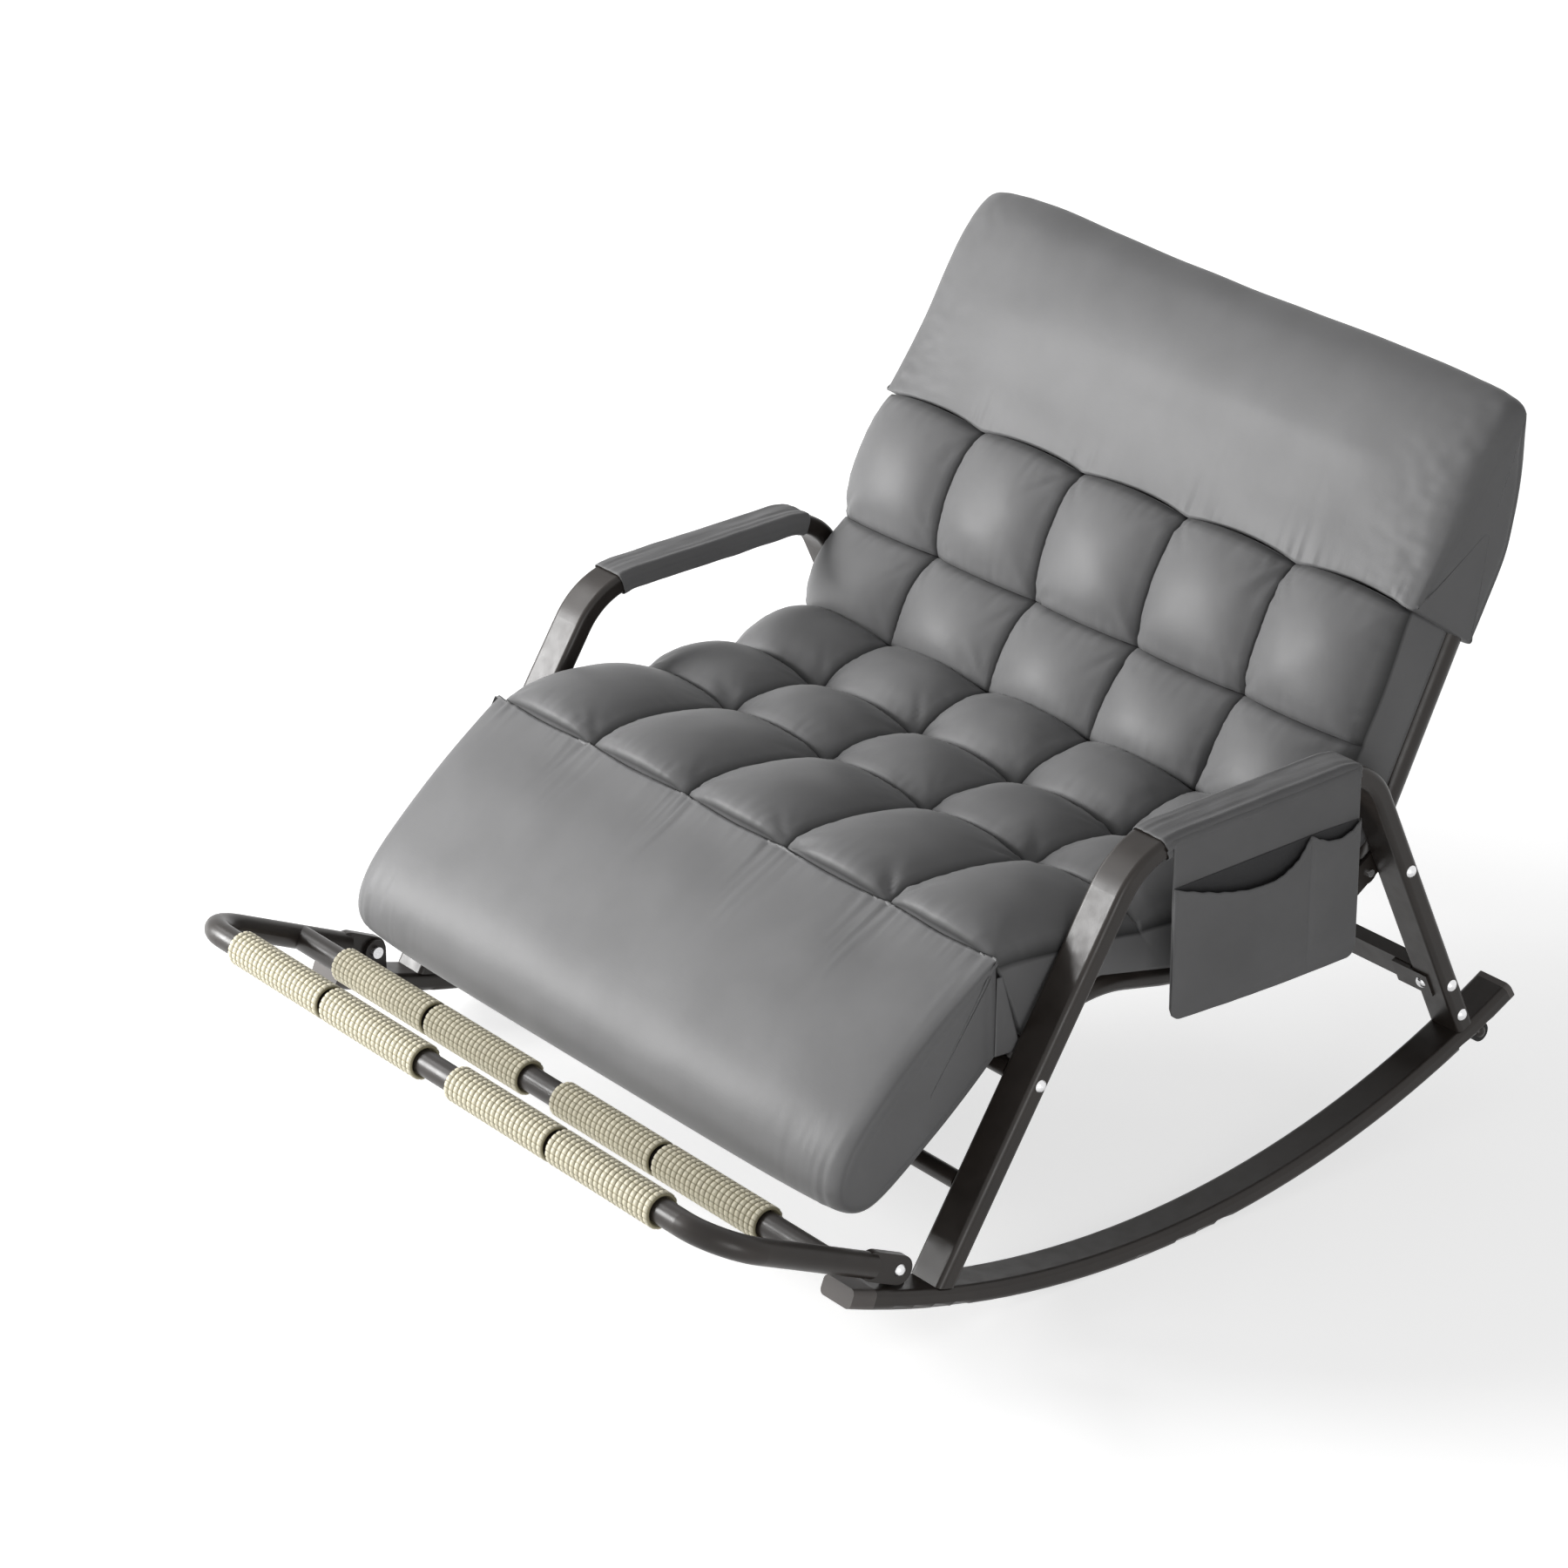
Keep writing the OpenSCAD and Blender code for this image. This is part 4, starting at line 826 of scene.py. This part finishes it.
def pillow_surface(point, x):
    """Soft unevenness, small gathers above the lower seam and pulls near the ends."""
    way, off = place_on(point, PIVOT, UP_BACK, OFF_BACK)
    way -= PILLOW_FOOT
    lift = unevenness(x, way, PILLOW_WAVES, seed=6.2)
    if off > FOOT_GATHER_OFF:
        near = bell(from_tuft(x), FOOT_GATHER_HALF_W)
        gather = FOOT_GATHER_H + FOOT_GATHER_TUFT_H * near
        gather *= unevenness(x, way, FOOT_GATHER_WAVES, seed=3.4)
        reach = FOOT_GATHER_REACH + FOOT_GATHER_TUFT_REACH * near
        lift += gather * math.exp(-max(way, 0) / reach) * ease(way / GATHER_START)
    corner = bell(PILLOW_W / 2 - abs(x), PULL_SIDE)
    lift += corner * unevenness(x, way, PULL_WAVES, seed=8.1)
    return lift


def pillow_shift(point, x):
    """The upper pads push the pillow's foot up between the tufts, and its right end stands fuller."""
    way, off = place_on(point, PIVOT, UP_BACK, OFF_BACK)
    way = max(way - PILLOW_FOOT, 0)
    foot = SCALLOP * scallop(x) * math.exp(-way / SCALLOP_REACH) * ease(off / FOOT_PUSH_OFF)
    rise = ease((way - RIGHT_END_FROM) / RIGHT_END_EASE)
    end = RIGHT_END_RISE * bell(x + PILLOW_W / 2, RIGHT_END_REACH) * rise
    return (foot + end) * UP_BACK


pillow_side = [on_pillow(*p) for p in PILLOW_SIDE]
pillow_middle = [
    p + PILLOW_BULGE * (up * UP_BACK + off * OFF_BACK) for p, (up, off) in zip(pillow_side, PILLOW_FILL)
]
shape = rolled(
    pillow_side, pillow_middle, PILLOW_W, count=240, surface=pillow_surface, shift=pillow_shift,
    centre=on_pillow(0.42, 0.35), dome=2, end_w=26, end_fall=7, sharp=(0, 15),
)
finish_piece(shape, "pillow_roll", "backrest", "cushion_cloth", ["head_pillow"])


PIPED_CORNER = 8
PIPING_R = 3.2
PIPING_INSET = 32
PIPING_WAVES = (1.2, 35, 1)


def bolster_piping():
    """Cloth piping along the bolster's width, at one corner of its profile."""
    around, count = 10, 220
    width = CUSHION_W - 2 * PIPING_INSET
    bm = tube(around, count)
    for vert in bm.verts:
        i, k = ring_place(vert, around, count)
        x = width * (k / count - 0.5)
        full = swell(2 * x / CUSHION_W, ROLL_FULLNESS)
        turn = FULL_TURN * i / around
        wave = unevenness(x, 0.5, PIPING_WAVES, seed=3.0)
        centre = bolster_side[PIPED_CORNER].lerp(bolster_middle[PIPED_CORNER], full) + wave * BOLSTER_DOWN
        vert.co = (x, centre.x + PIPING_R * math.cos(turn), centre.y + PIPING_R * math.sin(turn))
    rims = [e for e in bm.edges if e.is_boundary]
    bmesh.ops.holes_fill(bm, edges=rims)
    finish_piece(bm, "bolster_piping", "base", "cushion_cloth")


bolster_piping()


# Arm sleeves

# Shares of the arm's bends that a sleeve covers
COVERED_FRONT = 0.25
COVERED_REAR = 0.32


def arm_line(share):
    """Point and way along the arm at a share of a sleeve's length, bends included."""
    along = Vector((math.cos(ARM_TILT), math.sin(ARM_TILT)))
    up = Vector((-along.y, along.x))
    front = ARM_FRONT + math.tan(FRONT_TURN / 2) * FRONT_BEND * along
    rear = ARM_REAR - math.tan(REAR_TURN / 2) * REAR_BEND * along
    front_arc = COVERED_FRONT * FRONT_TURN
    rear_arc = COVERED_REAR * REAR_TURN
    runs = (front_arc * FRONT_BEND, (rear - front).length, rear_arc * REAR_BEND)
    way = share * sum(runs)
    if way < runs[0]:
        turn = (runs[0] - way) / FRONT_BEND
        tangent = along * math.cos(turn) + up * math.sin(turn)
        centre = front - FRONT_BEND * up
        return centre + FRONT_BEND * (up * math.cos(turn) - along * math.sin(turn)), tangent
    way -= runs[0]
    if way < runs[1]:
        return front + way * along, along
    turn = (way - runs[1]) / REAR_BEND
    tangent = along * math.cos(turn) - up * math.sin(turn)
    centre = rear - REAR_BEND * up
    return centre + REAR_BEND * (up * math.cos(turn) + along * math.sin(turn)), tangent


def heading(turn):
    """Unit way at a turn from the first axis."""
    return Vector((math.cos(turn), math.sin(turn)))


def section_point(share, half_w, half_t, corner):
    """Point of a rounded flat section at a share of its outline, and the way out of it."""
    flat_w = 2 * (half_w - corner)
    flat_t = 2 * (half_t - corner)
    arc = HALF_TURN / 2 * corner
    way = share * 2 * (flat_w + flat_t + 2 * arc)
    turn = 0.0
    spot = Vector((half_w, -flat_t / 2))
    for length in (flat_t, flat_w, flat_t, flat_w):
        ahead = Vector((-math.sin(turn), math.cos(turn)))
        if way <= length:
            return spot + way * ahead, heading(turn)
        way -= length
        spot = spot + length * ahead
        centre = spot - corner * heading(turn)
        if way <= arc:
            out = heading(turn + way / corner)
            return centre + corner * out, out
        way -= arc
        turn += HALF_TURN / 2
        spot = centre + corner * heading(turn)
    return spot, heading(turn)


SLEEVE_OFF = 2.2
SLEEVE_T = 1.5
SLEEVE_EASE = 0.4
SLEEVE_SUNK = 0.9
SLEEVE_HEM = 0.035
SLEEVE_HEM_H = 0.5
DRAG_WAVES = (0.9, 9, 6.5)
SLACK_WAVES = (0.8, 22, 16)

# Lengthwise folds on the outer side as (level, depth), and the ridge between them
SLEEVE_FOLDS = ((8.5, 1.7), (-2.5, 2.1))
FOLD_HALF_W = 1.9
FOLD_DRIFT = 1.6
RIDGE_AT = 3
RIDGE_H = 1.2
RIDGE_HALF_W = 3.2


def sleeve(name, node, side):
    """Cloth sleeve round an arm tube, with lengthwise folds and turned hems."""
    around, count = 120, 110
    half_w, half_t, corner = (size + SLEEVE_OFF for size in (ARM_HALF_W, ARM_HALF_T, ARM_CORNER_R))
    bm = tube(around, count)
    for vert in bm.verts:
        i, k = ring_place(vert, around, count)
        share = k / count
        spot, along = arm_line(share)
        up = Vector((-along.y, along.x))
        hem = 1.0 if min(share, 1 - share) < SLEEVE_HEM else 0.0
        point, out = section_point(i / around, half_w, half_t, corner)
        drag = unevenness(point.x, point.y, DRAG_WAVES, seed=share * 2.4 + side)
        slack = unevenness(point.x, point.y, SLACK_WAVES, seed=share * 9 + 5 * side)
        lift = drag + slack + SLEEVE_HEM_H * hem + SLEEVE_EASE
        if point.x > ARM_HALF_W:
            for level, depth in SLEEVE_FOLDS:
                level = level + FOLD_DRIFT * noise.noise(Vector((share * 3.1, level, 4.0 + side)))
                lift -= depth * bell(point.y - level, FOLD_HALF_W)
            lift += RIDGE_H * bell(point.y - RIDGE_AT, RIDGE_HALF_W)
        point = point + max(lift, -SLEEVE_SUNK) * out
        place = spot + point.y * up
        vert.co = (side * (SIDE_X + point.x), place.x, place.y)
    bmesh.ops.recalc_face_normals(bm, faces=bm.faces)
    bmesh.ops.solidify(bm, geom=bm.faces[:], thickness=SLEEVE_T)
    piece = finish_piece(bm, name, "base", "sleeve_cloth", [node])


sleeve("sleeve_wrap_left", "arm_sleeve_left", 1)
sleeve("sleeve_wrap_right", "arm_sleeve_right", -1)


# Side bag

BAG_X = 609.8
BAG_FRONT = 34
BAG_REAR = 356
BAG_W = BAG_REAR - BAG_FRONT
BAG_FOOT = 336
BAG_DIVIDER = 267.5
BAG_CORNER = 16
BAG_SAG = 3
BAG_TOP = 9
BAG_WAVES = (0.5, 60, 45)
MOUTH = [
    (34, 521), (52, 516.5), (75.8, 509.8), (101, 503), (126.9, 497.6), (150, 493.8), (173.6, 492.9),
    (192, 493.3), (208.2, 496), (223, 501.5), (236.5, 508), (249, 518), (258, 527), (267.5, 531),
    (280, 524.5), (293.8, 519.3), (312.4, 517.8), (332.2, 522.2), (347.1, 529.5), (356, 532),
]


def mouth_at(y):
    """Height of the pockets' mouths at a place along the bag."""
    for (y0, z0), (y1, z1) in zip(MOUTH, MOUTH[1:]):
        if y <= y1:
            return z0 + (z1 - z0) * ease((y - y0) / (y1 - y0)) if y1 > y0 else z0
    return MOUTH[-1][1]


def bag_foot(y):
    """Height of the bag's lower edge, with its rounded corners."""
    off = max(BAG_FRONT + BAG_CORNER - y, y - BAG_REAR + BAG_CORNER, 0)
    off = min(off, BAG_CORNER)
    round_up = BAG_CORNER - math.sqrt(BAG_CORNER**2 - off**2)
    return BAG_FOOT + round_up - BAG_SAG * math.sin(HALF_TURN * (y - BAG_FRONT) / BAG_W)


def arm_height(y):
    """Height of the arm tube's middle over a place along it."""
    return ARM_FRONT.y + (y - ARM_FRONT.x) * math.tan(ARM_TILT)


BAG_BACK_CELLS = (80, 64)
BAG_BACK_T = 1.4
BAG_BACK_IN = 0.9
BAG_BACK_HUG = 2.4
BAG_BACK_THINNED = 0.8


def bag_back():
    """Back sheet: it leaves the sleeve's outer side and hangs straight, slightly waved."""
    bm = slab(*BAG_BACK_CELLS, 1)
    for vert in bm.verts:
        y = BAG_FRONT + BAG_W * vert.co.x
        top = arm_height(y) + BAG_TOP
        foot = bag_foot(y)
        z = foot + (top - foot) * vert.co.y
        wave = unevenness(y, z, BAG_WAVES, seed=3.3)
        above = (z - arm_height(y)) / BAG_TOP
        hug = BAG_BACK_HUG * max(0.0, above) ** 2
        thickness = BAG_BACK_T * (1 - BAG_BACK_THINNED * ease(above))
        x = BAG_X + wave * (1 - vert.co.y) - BAG_BACK_IN - hug + thickness * vert.co.z
        vert.co = (x, y, z)
    return bm


POCKET_CELLS = (108, 60)
POCKET_T = 1.6
POCKET_OFF = 2.1
POCKET_FULLNESS = 2.4
WIDE_BULGE = 15
NARROW_BULGE = 9
POCKET_FOOT_EASE = 0.16
POCKET_FOOT_PART = 0.55
POCKET_MOUTH_PART = 0.45
POCKET_WAVES = (0.9, 30, 60)
MOUTH_HEM_FROM = 0.95
MOUTH_HEM_H = 0.7


def bag_pockets():
    """Pocket sheet: sewn at its sides, foot and divider, and bulged between, with open mouths."""
    bm = slab(*POCKET_CELLS, 1)
    for vert in bm.verts:
        y = BAG_FRONT + BAG_W * vert.co.x
        foot = bag_foot(y)
        z = foot + (mouth_at(y) - foot) * vert.co.y
        if y < BAG_DIVIDER:
            across = (y - BAG_FRONT) / (BAG_DIVIDER - BAG_FRONT)
            full = WIDE_BULGE
        else:
            across = (y - BAG_DIVIDER) / (BAG_REAR - BAG_DIVIDER)
            full = NARROW_BULGE
        upward = ease(vert.co.y / POCKET_FOOT_EASE)
        rise = POCKET_FOOT_PART + POCKET_MOUTH_PART * vert.co.y
        bulge = full * swell(2 * across - 1, POCKET_FULLNESS) * upward * rise
        wave = unevenness(y, z, POCKET_WAVES, seed=8.8) * swell(2 * across - 1)
        hem = MOUTH_HEM_H if vert.co.y > MOUTH_HEM_FROM else 0.0
        x = BAG_X + POCKET_OFF + bulge + wave + (POCKET_T + hem) * vert.co.z
        vert.co = (x, y, z)
    return bm


# Painted shade: a dark sheet in the pockets' open mouths stands for their shaded insides
MOUTH_SHADE_CELLS = (80, 20)
MOUTH_SHADE_T = 0.7
MOUTH_SHADE_OFF = 1.0
MOUTH_SHADE_FOOT = 470
MOUTH_SHADE_INSET = 2
MOUTH_SHADE_SLOPE = 0.04


def bag_mouth_shade():
    """Dark sheet of painted shade in the pockets' open mouths, under the line from end to end of each."""
    bm = slab(*MOUTH_SHADE_CELLS, 1)
    for vert in bm.verts:
        y = BAG_FRONT + MOUTH_SHADE_INSET + (BAG_W - 2 * MOUTH_SHADE_INSET) * vert.co.x
        top = min(mouth_at(BAG_FRONT) + (y - BAG_FRONT) * MOUTH_SHADE_SLOPE, mouth_at(BAG_DIVIDER))
        z = MOUTH_SHADE_FOOT + (top - MOUTH_SHADE_FOOT) * vert.co.y
        wave = unevenness(y, z, BAG_WAVES, seed=3.3)
        share = (z - bag_foot(y)) / (arm_height(y) + BAG_TOP - bag_foot(y))
        vert.co = (BAG_X + wave * (1 - share) + MOUTH_SHADE_OFF + MOUTH_SHADE_T * vert.co.z, y, z)
    return bm


bag_sheet = finish_piece(bag_back(), "bag_back_sheet", "base", "sleeve_cloth", ["side_bag"])
pocket_sheet = finish_piece(bag_pockets(), "bag_pocket_sheet", "base", "sleeve_cloth", ["side_bag"])
# Painted shade: the dark sheet in the pockets' mouths, in the slings' dark cloth
mouth_shade_sheet = finish_piece(bag_mouth_shade(), "bag_mouth_shade_sheet", "base", "sling_cloth")


# Slings under the seat and behind the back

SLING_T = 1.8
SLING_OFF = 0.3
SLING_STEP = 0.01
SLING_HEM = 0.03
SLING_HEM_H = 0.5
SLING_WAVES = (0.3, 40, 40)


def sling(name, node, body, chain, half_w, cells):
    """Stretched sling with doubled hems along its sides."""
    columns, rows = cells
    bm = slab(columns, rows, 1)
    off_ways = []
    for k in range(rows + 1):
        share = k / rows
        along = chain_way(chain, share, SLING_STEP).normalized()
        off_ways.append((chain_at(chain, share), Vector((-along.y, along.x))))
    for vert in bm.verts:
        x = half_w * (2 * vert.co.x - 1)
        spot, out = off_ways[round(vert.co.y * rows)]
        hem = SLING_HEM_H if min(vert.co.x, 1 - vert.co.x) < SLING_HEM else 0.0
        low = (1 - vert.co.z) * (SLING_T + hem)
        ripple = unevenness(x, spot.x, SLING_WAVES, seed=2.0)
        place = spot - (low + SLING_OFF + ripple * (1 - abs(2 * vert.co.x - 1))) * out
        vert.co = (x, place.x, place.y)
    return finish_piece(bm, name, body, "sling_cloth", [node])


SEAT_SLING_CHAIN = [
    Vector(p) for p in (
        (-170.8, 326.9), (-81.7, 363.2), (-61.6, 370.2), (-40.9, 375.3), (-19.8, 378.3), (1.6, 379.2),
        (22.9, 378), (43.9, 374.7), (102, 362.8), (113.3, 360.8), (124.8, 359.5), (136.3, 359),
        (147.8, 359.2), (159.3, 360.1), (170.7, 361.7), (390.8, 400.4),
    )
]
SEAT_SLING_HALF_W = 500
seat_sheet = sling(
    "seat_sling_sheet", "seat_sling", "base", SEAT_SLING_CHAIN, SEAT_SLING_HALF_W, cells=(100, 60)
)

BACK_SLING_CHAIN = [on_back(up, BACK_TUBE_R) for up in (34, 430)]
BACK_SLING_HALF_W = 508
back_sheet = sling(
    "back_sling_sheet", "back_sling", "backrest", BACK_SLING_CHAIN, BACK_SLING_HALF_W, cells=(100, 40)
)


# Massage rollers

OUTER_BAR = Vector((-672.02, 237.85))
INNER_BAR = Vector((-507.84, 164.06))
ROLLER_STARTS = (-475, -252, 38, 261)
PER_BAR = len(ROLLER_STARTS)
ROLLER_L = 214
ROLLER_R = 24.9
ROLLER_VALLEY = 22.9
ROLLER_END_R = 22.4
ROLLER_CHAMFER = 0.5
ROLLER_BORE = 17.9
RECESS_DEPTH = 12
RECESS_R = 19.9
RECESS_MOUTH_R = 20.2
RIBS = 21
NUBS = 18
NUB_GAP_R = 23.1
NUB_GAP_FROM = 23.9
NUB_STEPS = 5

# One rib: shares of its pitch, with the radius at each
RIB = ((0.07, ROLLER_VALLEY), (0.2, ROLLER_R), (0.8, ROLLER_R), (0.93, ROLLER_VALLEY))


def roller_profile():
    """Half section of a roller as (place along it, radius): ribs outside, a hub recess at each end."""
    pitch = ROLLER_L / RIBS
    outside = [(0, ROLLER_END_R), (ROLLER_CHAMFER, ROLLER_VALLEY)]
    for k in range(RIBS):
        outside += [(k * pitch + share * pitch, radius) for share, radius in RIB]
    outside += [(ROLLER_L - ROLLER_CHAMFER, ROLLER_VALLEY), (ROLLER_L, ROLLER_END_R)]
    inside = [
        (ROLLER_L, RECESS_MOUTH_R), (ROLLER_L - RECESS_DEPTH, RECESS_R),
        (ROLLER_L - RECESS_DEPTH, ROLLER_BORE), (RECESS_DEPTH, ROLLER_BORE),
        (RECESS_DEPTH, RECESS_R), (0, RECESS_MOUTH_R),
    ]
    return outside + inside


def roller(number):
    """Ribbed roller, its ribs parted into small nubs, on its bar of the footrest."""
    bar = OUTER_BAR if number <= PER_BAR else INNER_BAR
    start = ROLLER_STARTS[(number - 1) % PER_BAR]
    bm = bmesh.new()
    corners = [bm.verts.new((start + along, 0, r)) for along, r in roller_profile()]
    edges = [bm.edges.new((corners[i - 1], corners[i])) for i in range(len(corners))]
    bmesh.ops.spin(
        bm, geom=corners + edges, cent=(0, 0, 0), axis=(1, 0, 0), dvec=(0, 0, 0),
        angle=FULL_TURN, steps=NUBS * NUB_STEPS, use_merge=True, use_duplicate=False,
    )
    hollow = bm.verts.layers.float.new("hollow")
    for vert in bm.verts:
        r = math.hypot(vert.co.y, vert.co.z)
        turn = math.atan2(vert.co.y, vert.co.z) / FULL_TURN
        step = round(turn * NUBS * NUB_STEPS) % NUB_STEPS
        if r > NUB_GAP_FROM and step == 0:
            vert.co.y *= NUB_GAP_R / r
            vert.co.z *= NUB_GAP_R / r
            r = NUB_GAP_R
        # Painted shade: a weight that darkens the cream down in the valleys between ribs and nubs
        vert[hollow] = 1 - ease((r - ROLLER_VALLEY) / (ROLLER_R - ROLLER_VALLEY))
    bmesh.ops.translate(bm, verts=bm.verts, vec=(0, bar.x, bar.y))
    finish_piece(
        bm, f"ribbed_roller_{number}", f"roller_{number}", "roller_plastic", [f"massage_roller_{number}"]
    )


for number in range(1, 2 * PER_BAR + 1):
    roller(number)


# Cloth gussets between the bolster and the seat, one at each side

GUSSET_TOP = Vector((-199, 440))
GUSSET_FEET = (Vector((-201, 331)), Vector((-158, 329)))
GUSSET_TOP_W = 8
GUSSET_X = 543.9
GUSSET_T = 1.0
GUSSET_CELLS = (16, 40)
GUSSET_WAVES = (0.35, 12, 40)


def corner_gusset(name, side):
    """Three-cornered flap of cloth that closes the gap between bolster and seat."""
    bm = slab(*GUSSET_CELLS, 1)
    for vert in bm.verts:
        low = GUSSET_FEET[0].lerp(GUSSET_FEET[1], vert.co.x)
        head = GUSSET_TOP + Vector((GUSSET_TOP_W * vert.co.x, 0))
        place = head.lerp(low, vert.co.y)
        fold = unevenness(place.x, place.y, GUSSET_WAVES, seed=2 + side)
        x = side * (GUSSET_X + fold + GUSSET_T * vert.co.z)
        vert.co = (x, place.x, place.y)
    piece = finish_piece(bm, name, "base", "cushion_cloth")


corner_gusset("corner_gusset_left", 1)
corner_gusset("corner_gusset_right", -1)


# Studio: floor, sky, lamps and camera

# In metres: half of the floor, and its glow from near the chair to far from it
FLOOR_HALF_W = 30
FLOOR_GLOW = {"From Min": 1.1, "From Max": 3.2, "To Min": 0.66, "To Max": 0.9}


def studio_floor():
    """Wide pale floor that keeps the chair's shadow and shows white where none falls."""
    bm = bmesh.new()
    bmesh.ops.create_grid(bm, x_segments=1, y_segments=1, size=FLOOR_HALF_W)
    floor = new_object(bm, "studio_floor")
    finish = bpy.data.materials.new("studio_floor")
    finish.use_nodes = True
    nodes, links = finish.node_tree.nodes, finish.node_tree.links
    nodes.remove(nodes["Principled BSDF"])
    plain = add_node(finish, "ShaderNodeBsdfDiffuse", Color=(*grey(0.8), 1))
    seen = add_node(finish, "ShaderNodeBsdfDiffuse", Color=(*grey(0.7), 1))
    glow = nodes.new("ShaderNodeEmission")
    far = nodes.new("ShaderNodeVectorMath")
    far.operation = "LENGTH"
    links.new(object_place(finish), far.inputs[0])
    level = add_node(finish, "ShaderNodeMapRange", **FLOOR_GLOW)
    links.new(far.outputs["Value"], level.inputs["Value"])
    links.new(level.outputs["Result"], glow.inputs["Strength"])
    both = nodes.new("ShaderNodeAddShader")
    links.new(seen.outputs["BSDF"], both.inputs[0])
    links.new(glow.outputs["Emission"], both.inputs[1])
    mix = nodes.new("ShaderNodeMixShader")
    links.new(direct_view(nodes, links), mix.inputs["Fac"])
    links.new(plain.outputs["BSDF"], mix.inputs[1])
    links.new(both.outputs["Shader"], mix.inputs[2])
    links.new(mix.outputs["Shader"], nodes["Material Output"].inputs["Surface"])
    floor.data.materials.append(finish)


def direct_view(nodes, links):
    """Socket that is 1 for what the camera sees, also in gloss and through glass."""
    path = nodes.new("ShaderNodeLightPath")
    seen = path.outputs["Is Camera Ray"]
    for kind in ("Is Glossy Ray", "Is Transmission Ray"):
        larger = nodes.new("ShaderNodeMath")
        larger.operation = "MAXIMUM"
        links.new(seen, larger.inputs[0])
        links.new(path.outputs[kind], larger.inputs[1])
        seen = larger.outputs["Value"]
    return seen


def studio_sky():
    """White to the camera, softer as a light."""
    world = bpy.data.worlds.new("studio_sky")
    bpy.context.scene.world = world
    world.use_nodes = True
    nodes, links = world.node_tree.nodes, world.node_tree.links
    shown = nodes["Background"]
    shown.inputs["Strength"].default_value = 1.0
    shown.inputs["Color"].default_value = (1, 1, 1, 1)
    light = nodes.new("ShaderNodeBackground")
    light.inputs["Color"].default_value = (1, 1, 1, 1)
    light.inputs["Strength"].default_value = 0.2
    mix = nodes.new("ShaderNodeMixShader")
    links.new(direct_view(nodes, links), mix.inputs["Fac"])
    links.new(light.outputs["Background"], mix.inputs[1])
    links.new(shown.outputs["Background"], mix.inputs[2])
    links.new(mix.outputs["Shader"], nodes["World Output"].inputs["Surface"])


def softbox(name, place, target, size, power):
    """Square area lamp that faces a target."""
    lamp = bpy.data.lights.new(name, "AREA")
    lamp.shape = "SQUARE"
    lamp.size = size
    lamp.energy = power
    holder = bpy.data.objects.new(name, lamp)
    holder.location = place
    holder.rotation_euler = (Vector(target) - Vector(place)).to_track_quat("-Z", "Y").to_euler()
    bpy.context.scene.collection.objects.link(holder)


CAMERA_AZIMUTH = math.radians(52.0342)
CAMERA_HEIGHT = math.radians(23.7374)
CAMERA_PLACE = (5.075143, -4.072615, 3.324667)
SENSOR_W = 36
LENS = 121.3777


def photograph_camera():
    """Camera at the photograph's viewing angle."""
    level = math.cos(CAMERA_HEIGHT)
    back = Vector(
        (math.sin(CAMERA_AZIMUTH) * level, -math.cos(CAMERA_AZIMUTH) * level, math.sin(CAMERA_HEIGHT))
    )
    lens = bpy.data.cameras.new("photograph_camera")
    lens.sensor_width = SENSOR_W
    lens.lens = LENS
    camera = bpy.data.objects.new("photograph_camera", lens)
    camera.location = CAMERA_PLACE
    camera.rotation_euler = (-back).to_track_quat("-Z", "Y").to_euler()
    bpy.context.scene.collection.objects.link(camera)
    bpy.context.scene.camera = camera


studio_floor()
studio_sky()
softbox("softbox_key", place=(-3.7, -3.4, 1.7), target=(0, 0, 0.45), size=1.8, power=330)
softbox("softbox_side", place=(-3.6, -1.4, 3.2), target=(0, 0, 0.4), size=1.7, power=42)
softbox("softbox_fill", place=(4.3, -2.2, 1.1), target=(0, 0, 0.5), size=2.0, power=48)
photograph_camera()
bpy.context.scene.view_settings.view_transform = "Standard"
